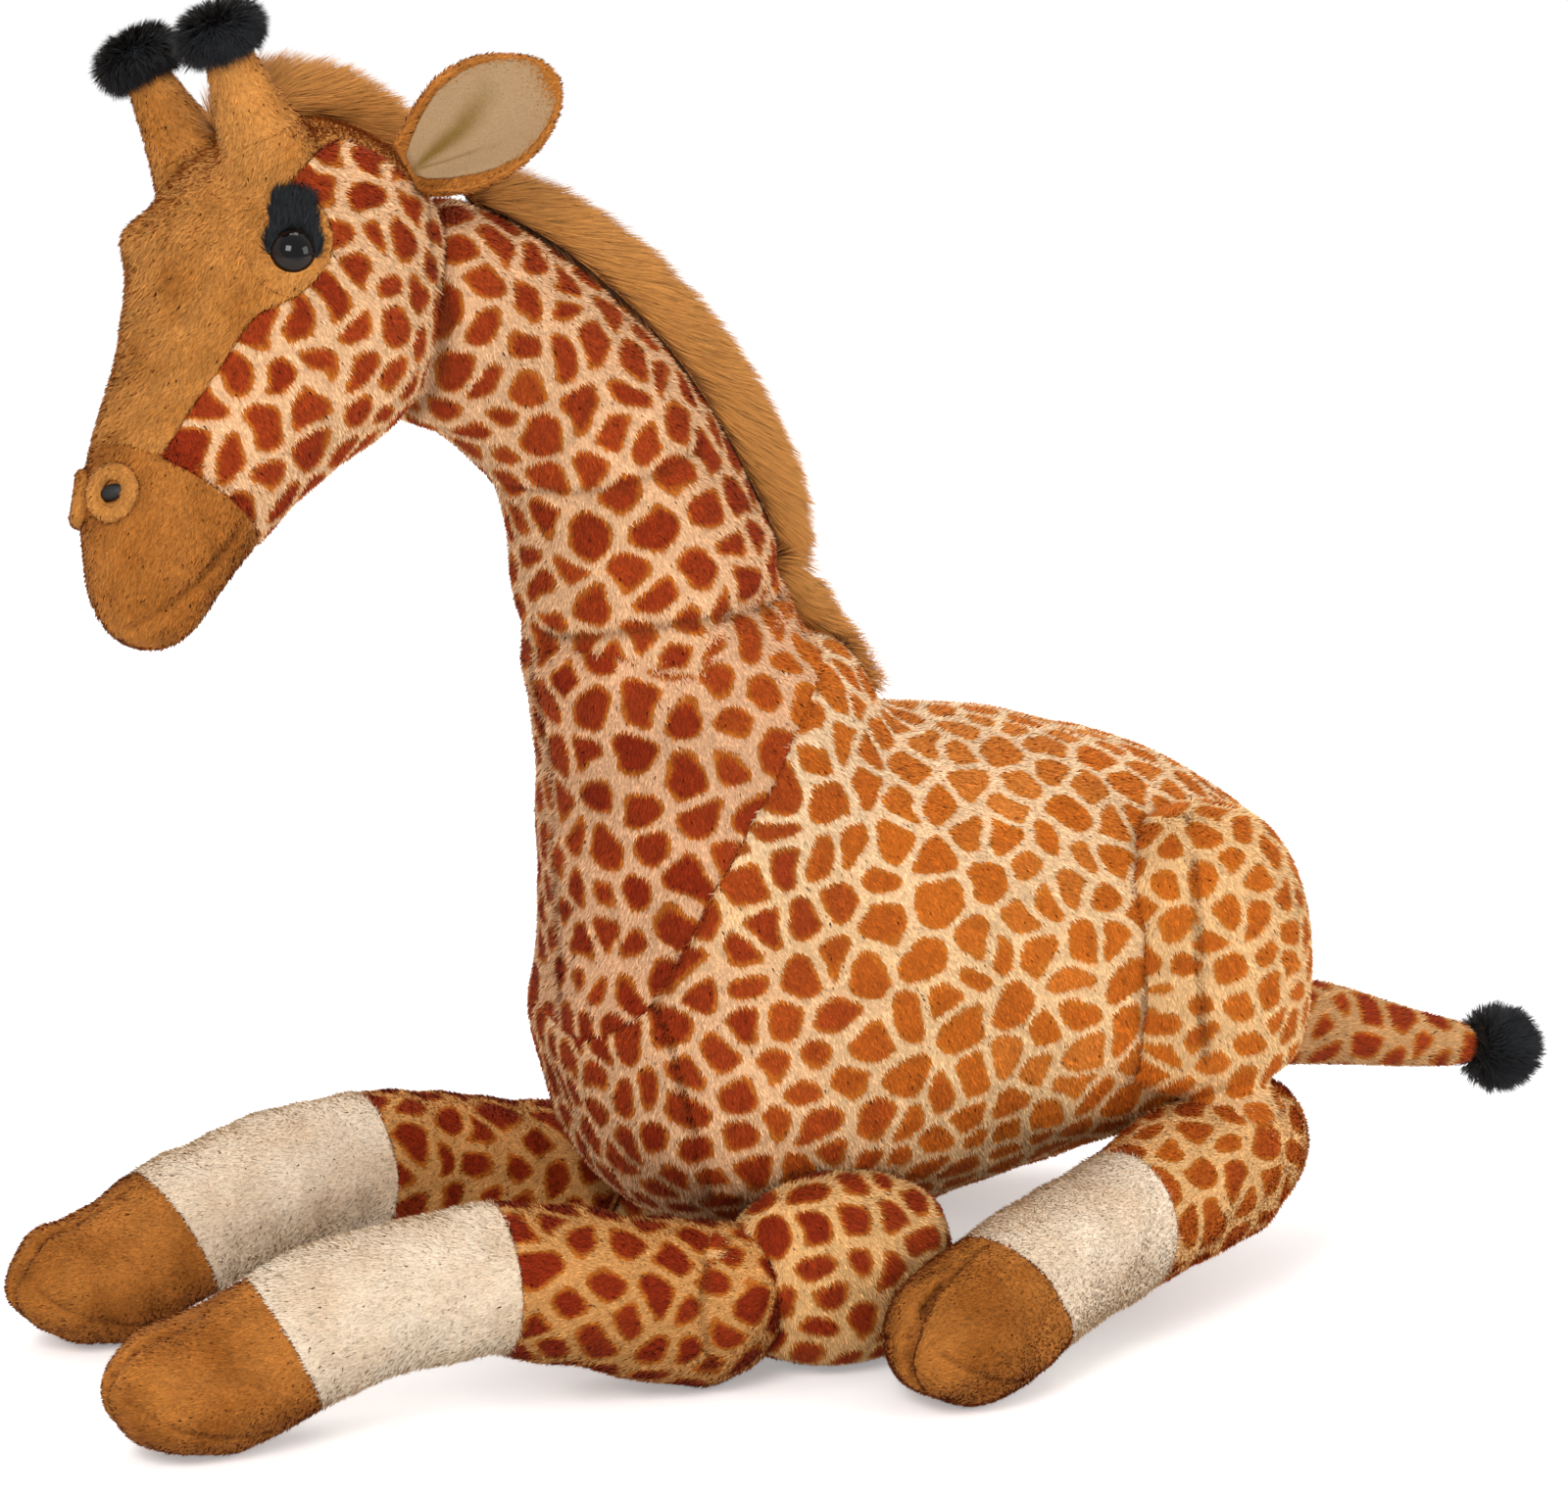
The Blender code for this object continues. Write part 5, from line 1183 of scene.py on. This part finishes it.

# Eyes and nostrils


def spun(name, profile, base, axis):
    """A round piece spun from its outline, given as (radius, height)."""
    corners = [(radius, 0.0, height) for radius, height in profile]
    mesh = bpy.data.meshes.new(name)
    mesh.from_pydata(corners, [(step, step + 1) for step in range(len(corners) - 1)], [])
    piece = placed(name, mesh)
    applied(piece, "SCREW", steps=64, render_steps=64, use_merge_vertices=True, merge_threshold=MERGE)
    ring = np.linalg.norm(places(piece)[:, :2], axis=1)
    turn = axis.to_track_quat("Z", "Y").to_matrix().to_4x4()
    turn.translation = base
    piece.data.transform(turn)
    edited(piece, (bpy.ops.mesh.normals_make_consistent, {"inside": False}))
    bpy.ops.object.shade_smooth()
    note(piece.data, "ring", ring / EYE_RADIUS)
    return piece


for side in SIDES:
    middle, way = EYES[side]
    dome = []
    for step in range(DOME_RINGS + 1):
        turn = math.radians(112.0) * step / DOME_RINGS
        dome.append((EYE_RADIUS * math.sin(turn), EYE_RADIUS * math.cos(turn)))
    shank = [(0.0030, -0.0040), (0.0022, -0.0050), (0.0022, -0.0178), (0.0016, -0.0180), (0.0, -0.0180)]
    eye = spun("eye_" + side + "_dome", dome + shank, middle, way)
    dressed(eye, "skull", EYE_GLOSS, ["eye_" + side])
    rim_cover = stuffed("nostril_rim_" + side + "_cover", ["nostril_rim_" + side], 0.8 * MM, 12, 0.9 * MM,
                        finer=0)
    finished(rim_cover, "skull", TAN, ["nostril_rim_" + side])
    insert = stuffed("nostril_" + side + "_insert", ["nostril_" + side], 0.5 * MM, 4, 0.1 * MM, finer=0)
    facing = NOSTRILS[side][1]
    centre = places(insert).mean(axis=0)
    turned_insert = Matrix.Rotation(math.radians(NOSTRIL_TURN * SIDES[side]), 3, facing)
    move_to(insert, (places(insert) - centre) @ np.array(turned_insert).T + centre)
    dressed(insert, "skull", NOSTRIL_PLASTIC, ["nostril_" + side])

# Black fur: a small core and the fibres that stand on it


def away_from(centre, pull=(0.0, 0.0, 0.0)):
    """A comb that spreads fibres away from a point, with a pull of its own."""
    def comb(roots):
        return unit(roots - np.array(centre)) + np.array(pull)
    return comb


def lash_patch(side):
    """The black patch sewn over an eye: it hugs the upper half of the eye and runs up from it."""
    middle, way = EYES[side]
    up = -NOSE * 0.91 + BROW * 0.41
    up = (up - way * up.dot(way)).normalized()
    beside = way.cross(up)
    front = []
    back = []
    for share in np.linspace(0.0, 1.0, 16):
        tops = []
        lows = []
        for turn in np.linspace(-105.0, 105.0, 57):
            outer = np.interp(abs(turn), [0.0, 15.0, 20.0, 24.0, 30.0, 40.0, 52.0, 70.0, 90.0, 105.0],
                              [26.0, 26.0, 25.0, 21.0, 17.5, 14.4, 12.6, 11.5, 10.9, 10.0]) * MM
            reach = 9.0 * MM + (outer - 9.0 * MM) * share
            heading = up * math.cos(math.radians(turn)) + beside * math.sin(math.radians(turn))
            spot = middle + heading * reach
            skin, facing, _, _ = SKULL_TREE.ray_cast(spot + way * 0.03, -way)
            if skin is None:
                skin, facing, _, _ = SKULL_TREE.find_nearest(spot)
            tops.append(skin + facing * 1.3 * MM)
            lows.append(skin - facing * 1.2 * MM)
        front.append(tops)
        back.append(lows)
    return leaf("eyelash_" + side + "_core", np.array(front), np.array(back)), tuple(up)


for side in SIDES:
    foot, lean = HORNS[side]
    tip_core = stuffed("horn_tip_" + side + "_core", ["horn_tip_" + side], 1.6 * MM, 8, -2.6 * MM)
    squeezed(tip_core, foot + lean * 0.062, lean, 0.72, 1.14)
    finished(tip_core, "skull", BLACK_FUR, ["horn_tip_" + side])
    comb = away_from(foot + lean * 0.062, tuple(lean * -0.15))
    pile("horn_tip_" + side + "_fur", tip_core, 420.0, 8.0 * MM, 0.42 * MM, comb, 0.65, 0.22, 0.12,
         segments=2, clump=2.0 * MM, seed=91, spare=(0.75, 1.1))
    lash_core, upward = lash_patch(side)
    finished(lash_core, "skull", BLACK_FUR, ["eyelash_" + side])
    pile("eyelash_" + side + "_fur", lash_core, 420.0, 6.0 * MM, 0.40 * MM, upward, 1.1, 0.16, 0.1,
         segments=2, clump=2.2 * MM, seed=95)
tuft_core = stuffed("tail_tuft_core", ["tail_tuft"], 1.8 * MM, 8, -4.5 * MM)
tuft_low, tuft_high = (np.array(corner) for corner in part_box("tail_tuft"))
tuft_root = (tuft_low + tuft_high) / 2.0
squeezed(tuft_core, tuft_root, np.array((1.0, 0.0, 0.0)), 0.84, 1.12)
finished(tuft_core, "rear_tail", BLACK_FUR, ["tail_tuft"])
tuft_root[0] = tuft_low[0]
pile("tail_tuft_fur", tuft_core, 330.0, 10.0 * MM, 0.45 * MM, away_from(tuft_root, (0.3, 0.0, 0.0)), 0.60,
     0.22, 0.1, segments=2, clump=2.6 * MM, seed=97)

# Mane: a core along the back and long fibres combed out and back over it


def combed_mane(roots):
    """Outward from the back and down along it, with the flanks spread a little."""
    path = np.array(MANE_PATH)
    spans = path[1:] - path[:-1]
    flat = roots[:, [0, 2]]
    best = np.full(len(roots), np.inf)
    down = np.zeros((len(roots), 2))
    for start, span in zip(path, spans):
        along = np.clip(((flat - start) @ span) / (span @ span), 0.0, 1.0)
        gap = np.linalg.norm(flat - (start + along[:, None] * span), axis=1)
        closer = gap < best
        best[closer] = gap[closer]
        down[closer] = span / np.linalg.norm(span)
    outward = np.stack([-down[:, 1], down[:, 0]], axis=1)
    outward *= np.sign(outward[:, 0] * 0.6 + outward[:, 1])[:, None]
    on_crown = np.clip((-flat[:, 0] - 0.20) / 0.05, 0.0, 1.0)[:, None]
    way = outward * (0.50 - 0.15 * on_crown) + down * 0.90
    aside = 0.25 * np.sign(roots[:, 1]) * (np.abs(roots[:, 1]) > 0.004)
    return np.stack([way[:, 0], aside, way[:, 1]], axis=1)


MANE_FILLERS = {"mane_lower": [((-0.0280, 0.0, 0.3440), 0.0125), ((-0.0200, 0.0, 0.3320), 0.0120)]}
for label, body, seed in (("mane_crown", "skull", 201), ("mane_upper", "neck", 205),
                          ("mane_lower", "torso", 209)):
    core = stuffed(label + "_core", [label], 1.8 * MM, 10, -3.2 * MM, MANE_FILLERS.get(label, ()))
    finished(core, body, MANE, [label])
    pile(label + "_fur", core, 270.0, 16.0 * MM, 0.42 * MM, combed_mane, 1.05, 0.10, 0.15, segments=2,
         clump=2.4 * MM, seed=seed)

# Pile of the covers
DOWN_BACK = (0.35, 0.0, -0.94)
NECK_DOWN = (0.25, 0.0, -0.97)
TO_NOSE = tuple(NOSE)
short_pile(body_cover, 11, DOWN_BACK, parts=2)
short_pile(neck_lower_cover, 21, NECK_DOWN)
short_pile(neck_cover, 31, NECK_DOWN)
short_pile(cheeks_cover, 41, DOWN_BACK)
short_pile(face_cover, 42, TO_NOSE, 2.8 * MM)
short_pile(muzzle_cover, 43, TO_NOSE, 2.4 * MM)
short_pile(tail_cover, 51, (1.0, 0.0, 0.0))
for seed, side in ((60, "left"), (80, "right")):
    for step, (leg, ways) in enumerate((("fore", FORE_WAYS), ("hind", HIND_WAYS))):
        for part, (cover, length) in enumerate(zip(LEGS[leg, side], (2.6, 2.8, 2.2))):
            short_pile(cover, seed + 3 * step + part, tuple(ways[side]), length * MM)
    short_pile(LEGS["arm", side], seed + 8, DOWN_BACK)
    short_pile(LEGS["thigh", side], seed + 9, DOWN_BACK)
    short_pile(horn_covers[side], seed + 10, tuple(-HORNS[side][1]), 2.2 * MM)
    short_pile(bpy.data.objects["ear_" + side + "_cover"], seed + 11, tuple(EARS[side][1]), 2.2 * MM)
    short_pile(lid_covers[side], seed + 12, TO_NOSE, 2.4 * MM)
    short_pile(bpy.data.objects["nostril_rim_" + side + "_cover"], seed + 13, TO_NOSE, 1.6 * MM, 130.0)
for seed, side in ((300, "left"), (320, "right")):
    for label, cover, line in (("chest", body_cover, CHEST_SEAM), ("shoulder", body_cover, SHOULDER_SEAM),
                               ("haunch", LEGS["thigh", side], HAUNCH_SEAM)):
        seam_tufts(label + "_seam_" + side + "_tufts", cover, on_side(line, side), seed + len(label))
seam_tufts("front_seam_tufts", neck_lower_cover, FRONT_SEAM, 341)
seam_tufts("muzzle_seam_left_tufts", cheeks_cover, MUZZLE_SEAM, 343, TO_NOSE, 3.6 * MM)

# Studio
bpy.ops.object.select_all(action="DESELECT")
bpy.ops.mesh.primitive_circle_add(vertices=96, radius=6.0, fill_type="NGON", location=(0.0, 0.0, 0.0))
floor = bpy.context.object
floor.name = "studio_floor"
paper = bpy.data.materials.new("white studio paper")
paper.use_nodes = True
paper_shader = paper.node_tree.nodes["Principled BSDF"]
paper_shader.inputs["Base Color"].default_value = linear("FAFAFA")
paper_shader.inputs["Roughness"].default_value = 0.9
paper_shader.inputs["Emission Color"].default_value = (1.0, 1.0, 1.0, 1.0)
straight = paper.node_tree.nodes.new("ShaderNodeLightPath").outputs["Is Camera Ray"]
lift = worked(paper.node_tree, "MULTIPLY", straight, 0.30)
paper.node_tree.links.new(lift, paper_shader.inputs["Emission Strength"])
floor.data.materials.append(paper)

world = bpy.data.worlds.new("studio_air")
world.use_nodes = True
tree = world.node_tree
air = tree.nodes["Background"]
air.inputs["Color"].default_value = (1.0, 1.0, 1.0, 1.0)
path = tree.nodes.new("ShaderNodeLightPath")
seen = worked(tree, "MAXIMUM", path.outputs["Is Camera Ray"], path.outputs["Is Transmission Ray"])
tree.links.new(spread(tree, seen, 0.74, 1.0), air.inputs["Strength"])
bpy.context.scene.world = world


def lamp(name, spot, aim, size, power):
    """A soft square lamp that faces a point."""
    light = bpy.data.lights.new(name, "AREA")
    light.shape = "SQUARE"
    light.size = size
    light.energy = power
    holder = placed(name, light)
    holder.location = spot
    holder.rotation_euler = (Vector(aim) - Vector(spot)).to_track_quat("-Z", "Y").to_euler()


MIDDLE = (0.0, 0.0, 0.28)
lamp("key_softbox", (-1.7, -1.9, 2.1), MIDDLE, 1.2, 54.0)
lamp("fill_softbox", (1.9, -1.7, 1.2), MIDDLE, 1.4, 27.0)
lamp("top_softbox", (0.2, 1.2, 2.4), MIDDLE, 1.4, 26.0)

# Camera at the photograph's angle
CAMERA_SPOT = Vector((-1.08409, -2.3825, 0.9584))
CAMERA_AIM = Vector((-0.02329, 0.0, 0.2596))
view = bpy.data.cameras.new("photo_view")
view.sensor_fit = "HORIZONTAL"
view.sensor_width = 36.0
view.lens = 136.69
view.clip_end = 50.0
camera = placed("photo_view", view)
camera.location = CAMERA_SPOT
camera.rotation_euler = (CAMERA_AIM - CAMERA_SPOT).to_track_quat("-Z", "Y").to_euler()
bpy.context.scene.camera = camera
bpy.context.scene.view_settings.view_transform = "Standard"

# The washers inside the head keep their solids
for side in SIDES:
    solid = frame["nodes"]["eye_washer_" + side]
    solid.data.materials.clear()
    solid.data.materials.append(WASHER)
